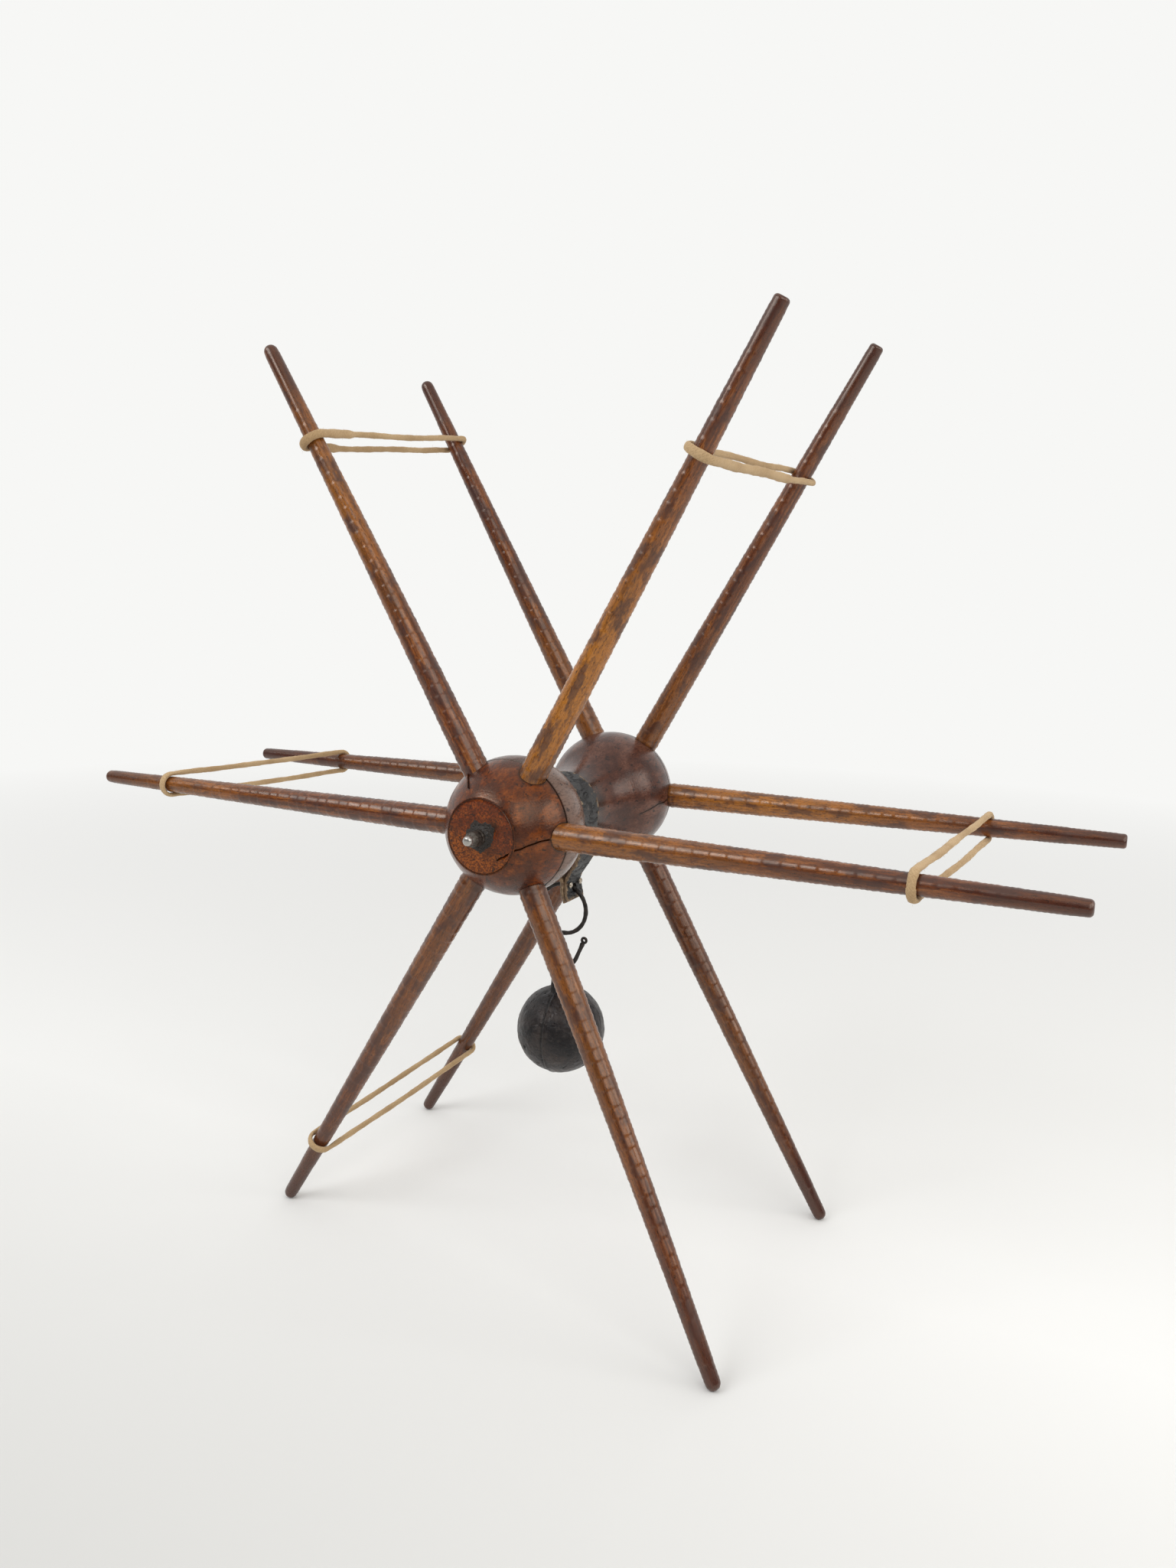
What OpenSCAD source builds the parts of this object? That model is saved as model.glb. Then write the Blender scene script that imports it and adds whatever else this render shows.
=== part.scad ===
// Hank reel (swift): two turned hubs on one core, six pairs of tapered spokes, cord loops
// between the pairs, and a leather brake strap with a hook and an iron drag weight.
// Millimetres. The spindle axis runs along Y, the front faces -Y, +Z is up, and the
// origin lies on the floor below the middle of the axis. The reel stands on four spokes.

/* [Reel] */
// Length of a spoke from the spindle axis to its tip
reel_r = 280; // [240:1:320]
// Distance between the two planes of spokes
wheel_gap = 130; // [120:1:150]
// Height of the spindle axis above the floor
axis_h = 242; // [236:1:246]

/* [Hub] */
// Radius of the two turned balls
ball_r = 35.8; // [35:0.1:38]
// How far each ball's centre lies inside its plane of spokes
ball_inset = 7.3; // [6:0.1:8.5]
// Distance from the plane of spokes to the flat disc face
disc_out = 22; // [21:0.1:23]
// How far the joint between core and cap lies inside the plane of spokes
joint_inset = 3; // [0:0.5:4]
// Radius of the waist that carries the strap
waist_r = 18.2; // [18:0.05:18.3]
// Where the waist ends and the front cove begins, on the front side of the middle
front_cove_start = 17; // [16.5:0.5:18]
// Where the waist ends and the rear cove begins, on the rear side of the middle
rear_cove_start = 3; // [2.5:0.5:6]

/* [Spokes] */
// Diameter of a spoke where it enters the hub
spoke_root_d = 14; // [13:0.1:14.4]
// Diameter of a spoke at its rounded tip
spoke_tip_d = 7.6; // [7:0.1:9]
// How late the taper sets in; 1 is a straight cone
spoke_swell = 1.25; // [1:0.05:1.6]
// Distance from the spindle axis to the inner end of a spoke
socket_r = 18; // [17:0.5:22]

/* [Spindles] */
// Radius of the driven shank
shank_r = 3.5; // [3:0.1:3.8]
// Radius of the collar outside the disc
collar_r = 4; // [3.9:0.1:4.6]
// Radius of the bearing journal
journal_r = 2.5; // [2:0.1:3]
// Distance of each spindle's end from the middle of the reel
spindle_end = 100; // [98:0.5:104]

/* [Cords] */
// Diameter of the braided cord
cord_d = 3.2; // [2.5:0.1:3.4]
// Diameter of the spliced stretch
splice_d = 4.8; // [4:0.1:5.2]
// Length of the spliced stretch
splice_len = 34; // [20:1:50]
// Slack between a cord and the spoke inside its wrap
cord_slack = 0.35; // [0.3:0.05:0.6]

/* [Brake strap] */
// Thickness of the leather
strap_t = 2; // [1.6:0.1:2.2]
// Width of the leather
strap_w = 18; // [14:0.5:20]
// Place of the strap's middle along the axis
strap_y = -7; // [-9:0.5:0]
// Radius of the hole for the hook
strap_hole_r = 2.8; // [2.6:0.1:3.2]

/* [Drag hook and weight] */
// Diameter of the hook's wire
wire_d = 2.4; // [2:0.1:2.6]
// Radius of the hook's upper bow
upper_bow_r = 14; // [13.8:0.1:14.2]
// Radius of the hook's lower bow
lower_bow_r = 9.5; // [9.2:0.1:10]
// Radius of the iron ball, a one-pound weight
weight_r = 24.75; // [22:0.25:26]

/* [Hidden] */
$fn = 64;

front = -1;
rear = 1;
plane_y = wheel_gap / 2;
ball_y = plane_y - ball_inset;
disc_y = plane_y + disc_out;
joint_y = plane_y - joint_inset;
tip_r = spoke_tip_d / 2;
root_r = spoke_root_d / 2;
fit = 0.05;

// The reel is handmade, so each spoke stands a little off its true place.
// Turn in degrees round the axis, splay in degrees outward, reach in mm from reel_r.
front_turn = [1.5, 1.5, 0.5, 0, -1, 0.5];
rear_turn = [0.5, 0.5, 1, 0, -0.5, 1];
front_splay = [0.5, 0, 0, 8, 0.5, 0.5];
rear_splay = [0, 0, 0, 1, 1, 0];
front_reach = [1, -3, -5, 0, 0, 2];
rear_reach = [-1, 2, -1, 0, 0, -1];

// Cord loops: distance of the front and the rear wrap from the axis, and the side of the
// loop that carries the splice (0 for none).
loop_front_r = [225, 206, 205, 0, 233, 229];
loop_rear_r = [235, 208, 213, 0, 219, 211];
loop_splice = [1, -1, 1, 0, 0, 0];

function spoke_angle(side, i) =
    120 - 60 * i + (side == front ? front_turn[i] : rear_turn[i]);
function spoke_splay(side, i) = side == front ? front_splay[i] : rear_splay[i];

// Direction of a spoke beyond the ball, and the point on its axis at distance r.
function spoke_dir(side, i) =
    let (a = spoke_angle(side, i), s = spoke_splay(side, i))
    [cos(a) * cos(s), side * sin(s), sin(a) * cos(s)];
function spoke_point(side, i, r) =
    let (a = spoke_angle(side, i))
    [ball_r * cos(a), side * plane_y, ball_r * sin(a)]
    + (r - ball_r) * spoke_dir(side, i);

// The four spokes that stand on the floor are as long as the floor asks.
function is_foot(i) = i == 3 || i == 4;
function foot_reach(side, i) =
    let (down = -sin(spoke_angle(side, i)))
    tip_r + ball_r
    + ((axis_h - tip_r) / down - ball_r) / cos(spoke_splay(side, i));
function spoke_reach(side, i) = is_foot(i)
    ? foot_reach(side, i)
    : reel_r + (side == front ? front_reach[i] : rear_reach[i]);
function spoke_radius(r) =
    let (t = max(0, r - ball_r) / (reel_r - ball_r))
    root_r - (root_r - tip_r) * pow(t, spoke_swell);

function unit(v) = v / norm(v);
function frame_at(p, x, y, z) =
    [[x[0], y[0], z[0], p[0]], [x[1], y[1], z[1], p[1]], [x[2], y[2], z[2], p[2]]];

// ---------- placing ----------

// Children drawn with the spindle axis along Y through their own origin.
module on_axis() {
    translate([0, 0, axis_h]) children();
}

// Children drawn along +X from the axis, set along a spoke of the reel.
module along_spoke(side, i) {
    a = spoke_angle(side, i);
    on_axis()
        translate([0, side * plane_y, 0])
            rotate([0, -a, 0])
                translate([ball_r, 0, 0])
                    rotate([0, 0, side * spoke_splay(side, i)])
                        translate([-ball_r, 0, 0])
                            children();
}

// ---------- hub ----------

module ball(side) {
    translate([0, side * ball_y, 0]) rotate([-90, 0, 0]) sphere(ball_r, $fn = 128);
}

// Everything on one side of the plane y = y0.
module half_space(y0, side) {
    size = 2 * reel_r;
    translate([-size / 2, side > 0 ? y0 : y0 - size, -size / 2]) cube(size);
}

module cylinder_y(y0, y1, r0, r1) {
    translate([0, y0, 0]) rotate([-90, 0, 0]) cylinder(h = y1 - y0, r1 = r0, r2 = r1);
}

// Hollow sweep from the waist up to a ball. It runs a little into the ball, so that the
// two meet at a true edge.
module cove(side, start) {
    steps = 12;
    touch_r = (pow(ball_y - start, 2) + pow(waist_r, 2) - pow(ball_r, 2))
        / (2 * (ball_r - waist_r));
    cove_r = 1.1 * touch_r;
    sweep = atan((ball_y - start) / (waist_r + cove_r));
    curve = [for (k = [0 : steps])
        let (a = sweep * k / steps)
        [waist_r + cove_r * (1 - cos(a)), start + cove_r * sin(a)]];
    end = curve[steps];
    rotate([side * -90, 0, 0])
        rotate_extrude($fn = 128)
            polygon(concat([[0, start - 1], [waist_r, start - 1]], curve, [[0, end[1]]]));
}

module sockets(side) {
    for (i = [0 : 5])
        along_spoke(side, i)
            translate([socket_r - fit, 0, 0])
                rotate([0, 90, 0])
                    rotate([0, 0, 30])
                        cylinder(h = ball_r, r = root_r + fit);
}

module hub_core() {
    color("saddlebrown")
        difference() {
            on_axis() {
                for (side = [front, rear])
                    difference() {
                        ball(side);
                        half_space(side * joint_y, side);
                    }
                cylinder_y(-ball_y, ball_y, waist_r, waist_r);
                cove(front, front_cove_start);
                cove(rear, rear_cove_start);
            }
            on_axis() for (side = [front, rear]) spindle_bore(side);
            sockets(front);
            sockets(rear);
        }
}

module cap(side) {
    bevel = 1;
    disc_r = sqrt(pow(ball_r, 2) - pow(disc_y - ball_y, 2));
    difference() {
        on_axis() difference() {
            ball(side);
            half_space(side * joint_y, -side);
            half_space(side * disc_y, side);
            disc_bevel(side, disc_r, bevel);
            spindle_bore(side);
        }
        sockets(side);
    }
}

// Cuts the fine bevel round the flat disc face.
module disc_bevel(side, r, bevel) {
    translate([0, side * disc_y, 0])
        rotate([side * -90, 0, 0])
            rotate_extrude($fn = 128)
                polygon([[r - bevel, 0], [r + 2, -bevel * 0.6], [r + 2, 1], [r - bevel, 1]]);
}

module front_cap() {
    color("sienna") cap(front);
}

module rear_cap() {
    color("sienna") cap(rear);
}

// ---------- spindles ----------

spindle_in = 42;
collar_end = spindle_end - 5;
journal_start = spindle_end - 3.8;

module spindle_bore(side) {
    mirror([0, side > 0 ? 0 : 1, 0])
        cylinder_y(spindle_in - fit, disc_y + 1, shank_r + fit, shank_r + fit);
}

module spindle(side) {
    round_end = 0.8;
    on_axis()
        mirror([0, side > 0 ? 0 : 1, 0]) {
            cylinder_y(spindle_in, disc_y, shank_r, shank_r);
            cylinder_y(disc_y, collar_end, collar_r, collar_r);
            cylinder_y(collar_end, journal_start, collar_r, journal_r);
            cylinder_y(journal_start, spindle_end - round_end, journal_r, journal_r);
            cylinder_y(spindle_end - round_end, spindle_end, journal_r, journal_r - round_end);
        }
}

module front_spindle() {
    color("dimgray") spindle(front);
}

module rear_spindle() {
    color("dimgray") spindle(rear);
}

// ---------- spokes ----------

// Outline of a spoke: radius against distance, closed by a round tip.
module spoke_outline(reach) {
    steps = 14;
    shaft_end = reach - tip_r;
    end_r = spoke_radius(shaft_end);
    shaft = [for (k = [0 : steps])
        let (r = ball_r + (shaft_end - ball_r) * k / steps)
        [spoke_radius(r), r]];
    tip = [for (k = [1 : 5])
        [end_r * cos(18 * k), shaft_end + tip_r * sin(18 * k)]];
    polygon(concat([[0, socket_r], [root_r, socket_r]], shaft, tip));
}

module spoke(side, i) {
    along_spoke(side, i)
        rotate([0, 90, 0])
            rotate_extrude($fn = 48)
                spoke_outline(spoke_reach(side, i));
}

module front_spoke(n) {
    color("peru") spoke(front, n - 1);
}

module rear_spoke(n) {
    color("peru") spoke(rear, n - 1);
}

// ---------- cord loops ----------

// Closed loop of round cord about two points that lie `span` apart along X.
module stadium_loop(span, wrap_r, d) {
    for (end = [0, 1])
        translate([end * span, 0, 0])
            rotate([0, 0, 90 - 180 * end])
                rotate_extrude(angle = 180)
                    translate([wrap_r, 0]) circle(d = d, $fn = 24);
    for (s = [-1, 1])
        translate([0, s * wrap_r, 0])
            rotate([0, 90, 0])
                cylinder(h = span, d = d, $fn = 24);
}

// Spliced stretch of a loop, with tapered ends, near its front wrap.
module splice(side_of_loop, wrap_r) {
    start = 14;
    taper = 6;
    translate([start, side_of_loop * wrap_r, 0])
        rotate([0, 90, 0]) {
            cylinder(h = taper, d1 = cord_d, d2 = splice_d, $fn = 24);
            translate([0, 0, taper])
                cylinder(h = splice_len - 2 * taper, d = splice_d, $fn = 24);
            translate([0, 0, splice_len - taper])
                cylinder(h = taper, d1 = splice_d, d2 = cord_d, $fn = 24);
        }
}

module cord_loop(n) {
    i = n - 1;
    a = spoke_point(front, i, loop_front_r[i]);
    b = spoke_point(rear, i, loop_rear_r[i]);
    x = unit(b - a);
    y = unit(cross(spoke_dir(front, i) + spoke_dir(rear, i), x));
    z = cross(x, y);
    thick = max(spoke_radius(loop_front_r[i]), spoke_radius(loop_rear_r[i]));
    wrap_r = thick + cord_slack + cord_d / 2;
    color("tan")
        on_axis()
            multmatrix(frame_at(a, x, y, z)) {
                stadium_loop(norm(b - a), wrap_r, cord_d);
                if (loop_splice[i] != 0)
                    splice(loop_splice[i], wrap_r);
            }
}

// ---------- brake strap ----------

strap_mid_r = waist_r + 0.3 + strap_t / 2;
strap_leave_left = 15;
strap_leave_right = 8;
pinch_z = -37.5;

// Middle line of the leather in X and Z: up from one end, over the waist, down to the other.
strap_arc_steps = 28;
strap_line = concat(
    [[8, -50], [6.5, pinch_z], [-5.5, -31.5], [-14, -22.5]],
    [for (k = [0 : strap_arc_steps])
        let (sweep = 180 + strap_leave_left + strap_leave_right,
            a = 180 + strap_leave_left - sweep * k / strap_arc_steps)
        strap_mid_r * [cos(a), sin(a)]],
    [[16.2, -24], [12.4, -31], [8.9, pinch_z], [10.4, -48]]);

// Point k of a line moved sideways by `off`, mitred at the bends.
function side_point(line, k, off) =
    let (last = len(line) - 1,
        a = unit(k == 0 ? line[1] - line[0] : line[k] - line[k - 1]),
        b = k == last ? a : unit(line[k + 1] - line[k]),
        n = unit([-a[1] - b[1], a[0] + b[0]]))
    line[k] + n * off / (n * [-b[1], b[0]]);

module brake_strap() {
    last = len(strap_line) - 1;
    upper = [for (k = [0 : last]) side_point(strap_line, k, strap_t / 2)];
    under = [for (k = [last : -1 : 0]) side_point(strap_line, k, -strap_t / 2)];
    color("darkslategray")
        translate([0, strap_y, axis_h])
            difference() {
                translate([0, strap_w / 2, 0])
                    rotate([90, 0, 0])
                        linear_extrude(strap_w) polygon(concat(upper, under));
                translate([0, 0, hook_pivot[1]])
                    rotate([0, 90, 0])
                        cylinder(h = reel_r, r = strap_hole_r);
                rivet_places()
                    cylinder(h = reel_r, r = rivet_r + fit);
            }
}

rivet_r = 0.9;
rivet_pitch = 11;
rivet_z = pinch_z - 2.4;

// Children drawn along Z, set through both plies along X.
module rivet_places() {
    for (s = [-1, 1])
        translate([0, s * rivet_pitch / 2, rivet_z])
            rotate([0, 90, 0])
                children();
}

module strap_rivets() {
    head_r = 1.7;
    head_h = 0.9;
    inner_x = 5.5;
    outer_x = 10.7;
    color("silver")
        translate([0, strap_y, axis_h])
            rivet_places() {
                translate([0, 0, inner_x])
                    cylinder(h = outer_x - inner_x, r = rivet_r);
                translate([0, 0, inner_x - head_h])
                    cylinder(h = head_h, r1 = rivet_r, r2 = head_r);
                translate([0, 0, outer_x])
                    cylinder(h = head_h, r1 = head_r, r2 = rivet_r);
            }
}

// ---------- drag hook ----------

hang_x = 3.5;
upper_bow_z = -55.5;
hook_pivot = [8.4, -42.6];
lower_bow_z = upper_bow_z - upper_bow_r - lower_bow_r;
bow_bottom_z = lower_bow_z - lower_bow_r;

// Arc of round wire in the XZ plane, from angle a0 counter-clockwise by `sweep`.
module wire_arc(z, r, a0, sweep) {
    translate([hang_x, 0, z])
        rotate([90, 0, 0])
            rotate([0, 0, a0])
                rotate_extrude(angle = sweep)
                    translate([r, 0]) circle(d = wire_d, $fn = 24);
}

module drag_hook() {
    nose_angle = 23;
    nose_len = 9.5;
    eye_r = 2.2;
    eye_hole_r = 0.9;
    back = 150;
    nose = [hang_x + lower_bow_r * cos(nose_angle),
        lower_bow_z - lower_bow_r * sin(nose_angle)];
    eye = nose + (nose_len + eye_r) * [sin(nose_angle), cos(nose_angle)];
    color("black")
        translate([0, strap_y, axis_h])
            difference() {
                union() {
                    wire_arc(upper_bow_z, upper_bow_r, -90, 90 + back);
                    wire_arc(lower_bow_z, lower_bow_r, 90, 270 - nose_angle);
                    translate([nose[0], 0, nose[1]])
                        rotate([0, nose_angle, 0])
                            translate([0, 0, -0.3])
                                cylinder(h = nose_len + 1.5, d = wire_d + 0.1);
                    translate([eye[0], 0, eye[1]])
                        rotate([90, 0, 0])
                            cylinder(h = 1.6, r = eye_r, center = true);
                }
                translate([eye[0], 0, eye[1]])
                    rotate([90, 0, 0])
                        cylinder(h = 4, r = eye_hole_r, center = true);
            }
}

// ---------- drag weight ----------

weight_z = -125.3;
lug_hole_r = 2.5;
lug_hole_z = bow_bottom_z - 0.3;

module drag_weight() {
    lug_t = 6;
    lug_top_r = 7;
    lug_base_w = 20;
    nub_r = 2;
    base_z = weight_z + weight_r - 3;
    color("dimgray")
        translate([hang_x, strap_y, axis_h])
            difference() {
                union() {
                    translate([0, 0, weight_z]) sphere(weight_r, $fn = 128);
                    translate([0, 0, weight_z - weight_r - 0.5])
                        cylinder(h = 3, r = nub_r);
                    translate([-lug_t / 2, 0, lug_hole_z])
                        rotate([0, 90, 0])
                            cylinder(h = lug_t, r = lug_top_r);
                    translate([lug_t / 2, 0, 0])
                        rotate([90, 0, -90])
                            linear_extrude(lug_t)
                                polygon([[-lug_top_r, lug_hole_z], [lug_top_r, lug_hole_z],
                                    [lug_base_w / 2, base_z], [-lug_base_w / 2, base_z]]);
                }
                translate([0, 0, lug_hole_z])
                    rotate([0, 90, 0])
                        cylinder(h = 4 * lug_t, r = lug_hole_r, center = true);
            }
}

hub_core();
front_cap();
rear_cap();
front_spindle();
rear_spindle();
front_spoke(1);  // front_spoke_1
front_spoke(2);  // front_spoke_2
front_spoke(3);  // front_spoke_3
front_spoke(4);  // front_spoke_4
front_spoke(5);  // front_spoke_5
front_spoke(6);  // front_spoke_6
rear_spoke(1);  // rear_spoke_1
rear_spoke(2);  // rear_spoke_2
rear_spoke(3);  // rear_spoke_3
rear_spoke(4);  // rear_spoke_4
rear_spoke(5);  // rear_spoke_5
rear_spoke(6);  // rear_spoke_6
cord_loop(1);  // cord_loop_1
cord_loop(2);  // cord_loop_2
cord_loop(3);  // cord_loop_3
cord_loop(5);  // cord_loop_5
cord_loop(6);  // cord_loop_6
brake_strap();
strap_rivets();
drag_hook();
drag_weight();
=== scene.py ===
"""Looks of the hank reel: turned wood, braided cotton, worn leather, forged and cast iron."""
import math

import bmesh
import bpy
import numpy as np
from mathutils import Matrix, Vector, noise


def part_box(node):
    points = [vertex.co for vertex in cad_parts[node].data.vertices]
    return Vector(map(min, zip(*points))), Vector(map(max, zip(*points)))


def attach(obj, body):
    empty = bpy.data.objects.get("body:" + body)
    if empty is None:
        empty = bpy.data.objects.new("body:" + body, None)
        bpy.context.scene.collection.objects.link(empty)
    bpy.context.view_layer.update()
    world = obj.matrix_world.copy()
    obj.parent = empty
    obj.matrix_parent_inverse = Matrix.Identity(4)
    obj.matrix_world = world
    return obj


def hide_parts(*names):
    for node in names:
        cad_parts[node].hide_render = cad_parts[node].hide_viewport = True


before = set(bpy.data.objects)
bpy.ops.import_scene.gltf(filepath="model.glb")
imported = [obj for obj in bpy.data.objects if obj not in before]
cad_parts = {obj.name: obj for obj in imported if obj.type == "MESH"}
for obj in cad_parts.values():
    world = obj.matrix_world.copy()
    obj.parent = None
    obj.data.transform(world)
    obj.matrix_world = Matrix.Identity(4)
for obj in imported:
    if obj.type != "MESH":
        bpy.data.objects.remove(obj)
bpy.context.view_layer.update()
MM = 0.001
X, Y, Z = np.eye(3)


# ---------- numbers and meshes ----------

def unit(v):
    v = np.asarray(v, float)
    return v / np.linalg.norm(v)


def unit_rows(v):
    return v / np.linalg.norm(v, axis=1)[:, None]


def full_turn(step):
    """Angles once round, with a step in degrees."""
    return np.radians(np.arange(0, 360, step))


def smoothstep(x, low, high):
    t = np.clip((x - low) / (high - low), 0, 1)
    return t * t * (3 - 2 * t)


def bell(x, width):
    return np.exp(-((x / width) ** 2))


def noise_at(points, per_metre, octaves=2, shift=0.0):
    """Smooth noise from about -1 to 1 at each point; per_metre is its frequency."""
    at = np.asarray(points, float) * per_metre + shift
    return np.array([noise.fractal(Vector(p), 0.8, 2.0, octaves) for p in at])


def grid_faces(rows, cols, wrap_rows, cap_start=False, cap_end=False):
    """Quads over a grid whose columns close up, with a fan to one more point at a capped end."""
    i = np.arange(rows if wrap_rows else rows - 1)
    j = np.arange(cols)
    i, j = (a.ravel() for a in np.meshgrid(i, j, indexing="ij"))
    i2, j2 = (i + 1) % rows, (j + 1) % cols
    quads = np.stack([i * cols + j, i * cols + j2, i2 * cols + j2, i2 * cols + j], 1)
    faces = quads.tolist()
    top = rows * cols
    ring = list(range(cols))
    if cap_start:
        faces += [[top, (k + 1) % cols, k] for k in ring]
        top += 1
    if cap_end:
        last = (rows - 1) * cols
        faces += [[top, last + k, last + (k + 1) % cols] for k in ring]
    return faces


def add_object(name, data):
    obj = bpy.data.objects.new(name, data)
    bpy.context.scene.collection.objects.link(obj)
    return obj


def new_piece(name, points, faces, material=None):
    mesh = bpy.data.meshes.new(name)
    mesh.from_pydata(np.asarray(points).tolist(), [], faces)
    work = bmesh.new()
    work.from_mesh(mesh)
    bmesh.ops.recalc_face_normals(work, faces=work.faces)
    work.to_mesh(mesh)
    work.free()
    obj = add_object(name, mesh)
    if material:
        mesh.materials.append(material)
    shade(obj)
    return obj


def shade(obj, sharp=40):
    obj.data.shade_smooth()
    obj.data.set_sharp_from_angle(angle=math.radians(sharp))


def grid_piece(name, grid, material=None, wrap_rows=False, ends=()):
    """A piece from rows of points; ends holds the closing points of an open grid."""
    rows, cols = grid.shape[:2]
    points = np.vstack([grid.reshape(-1, 3), *[np.reshape(e, (1, 3)) for e in ends]])
    faces = grid_faces(rows, cols, wrap_rows, len(ends) > 0, len(ends) > 1)
    return new_piece(name, points, faces, material)


def closed_piece(name, grid, material=None):
    """A piece whose two ends fan in to their middles."""
    return grid_piece(name, grid, material, ends=[grid[0].mean(0), grid[-1].mean(0)])


def points_of(obj, what="co"):
    """The places of an object's points, or their normals."""
    values = np.empty(3 * len(obj.data.vertices))
    obj.data.vertices.foreach_get(what, values)
    return values.reshape(-1, 3)


def node_points(name):
    return points_of(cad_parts[name])


def move_points(obj, points):
    obj.data.vertices.foreach_set("co", np.asarray(points, np.float32).ravel())
    obj.data.update()


def paint(obj, **values):
    """Writes per-point attributes that the materials read."""
    for name, value in values.items():
        value = np.asarray(value, np.float32)
        vector = value.ndim == 2
        layer = obj.data.attributes.new(name, "FLOAT_VECTOR" if vector else "FLOAT", "POINT")
        layer.data.foreach_set("vector" if vector else "value", value.ravel())


def apply_modifier(obj, kind, **settings):
    modifier = obj.modifiers.new(kind, kind)
    for key, value in settings.items():
        setattr(modifier, key, value)
    bpy.context.view_layer.update()
    with bpy.context.temp_override(object=obj, active_object=obj, selected_objects=[obj]):
        bpy.ops.object.modifier_apply(modifier=modifier.name)


def cut(obj, *cutters):
    for cutter in cutters:
        apply_modifier(obj, "BOOLEAN", operation="DIFFERENCE", solver="EXACT", object=cutter)


def discard(*objs):
    for obj in objs:
        bpy.data.objects.remove(obj)


def join(name, objs, material):
    """One piece that holds several meshes as they are."""
    work = bmesh.new()
    for obj in objs:
        work.from_mesh(obj.data)
    mesh = bpy.data.meshes.new(name)
    work.to_mesh(mesh)
    work.free()
    discard(*objs)
    mesh.materials.append(material)
    return add_object(name, mesh)


def merge(name, objs, voxel, material):
    """One skin over several overlapping solids."""
    obj = join(name, objs, material)
    apply_modifier(obj, "REMESH", mode="VOXEL", voxel_size=voxel, use_smooth_shade=True)
    apply_modifier(obj, "SMOOTH", factor=0.5, iterations=4)
    return obj


def finish_piece(obj, body, slot, *nodes):
    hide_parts(*nodes)
    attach(obj, body)
    return obj


# ---------- the frame's own measures ----------

hub_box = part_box("hub_core")
cap_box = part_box("front_cap")
AXIS = np.array([0, 0, (hub_box[0].z + hub_box[1].z) / 2])
BALL_R = (hub_box[1].z - hub_box[0].z) / 2
JOINT_Y = -cap_box[1].y
DISC_Y = -cap_box[0].y
JOINT_R = (cap_box[1].x - cap_box[0].x) / 2
BALL_Y = JOINT_Y - math.sqrt(BALL_R ** 2 - JOINT_R ** 2)
core = node_points("hub_core") - AXIS
WAIST_R = np.hypot(core[:, 0], core[:, 2])[abs(core[:, 1]) < 16 * MM].min()
COVE_STARTS = {"front": 17 * MM, "rear": 3 * MM}
SPINDLE_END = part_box("rear_spindle")[1].y
STRAP_Y = (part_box("brake_strap")[0].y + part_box("brake_strap")[1].y) / 2
SIDES = {"front": -1, "rear": 1}


class Spoke:
    """Where a spoke lies: its inner end, its direction, its length, its radius along it."""

    def __init__(self, node):
        points = node_points(node)
        centre = points.mean(0)
        axis = np.linalg.svd(points - centre, full_matrices=False)[2][0]
        axis = axis * np.sign(axis @ (centre - AXIS))
        along = (points - centre) @ axis
        self.axis = axis
        self.start = centre + axis * along.min()
        self.length = np.ptp(along)
        radius = np.linalg.norm(points - centre - np.outer(along, axis), axis=1)
        order = np.argsort(along)
        self.along = along[order] - along.min()
        self.radius_at = radius[order]
        self.across = unit(np.cross(axis, Y))
        self.up = np.cross(axis, self.across)

    def radius(self, t):
        keep = self.radius_at > 0.3 * self.radius_at.max()
        return np.interp(t, self.along[keep], self.radius_at[keep])

    def point(self, t):
        return self.start + np.multiply.outer(t, self.axis)

    def ring(self, turn):
        """Unit vectors that point away from the axis."""
        return np.outer(np.cos(turn), self.across) + np.outer(np.sin(turn), self.up)


SPOKES = {f"{side}_spoke_{n}": Spoke(f"{side}_spoke_{n}") for side in SIDES for n in range(1, 7)}


# ---------- camera, floor and light ----------

def make_camera():
    """The place, aim and lens that were fitted to the photo."""
    data = bpy.data.cameras.new("camera")
    camera = add_object("camera", data)
    data.sensor_width = 36
    data.lens = 26.946
    data.clip_start, data.clip_end = 0.02, 50
    forward = unit((-0.4533, 0.8729, -0.1805))
    right = unit((0.8849, 0.4650, 0.0261))
    up = np.cross(right, forward)
    turn = Matrix(np.array([right, up, -forward]).T.tolist()).to_4x4()
    camera.matrix_world = Matrix.Translation((0.3029, -0.5580, 0.3719)) @ turn
    bpy.context.scene.camera = camera


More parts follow.
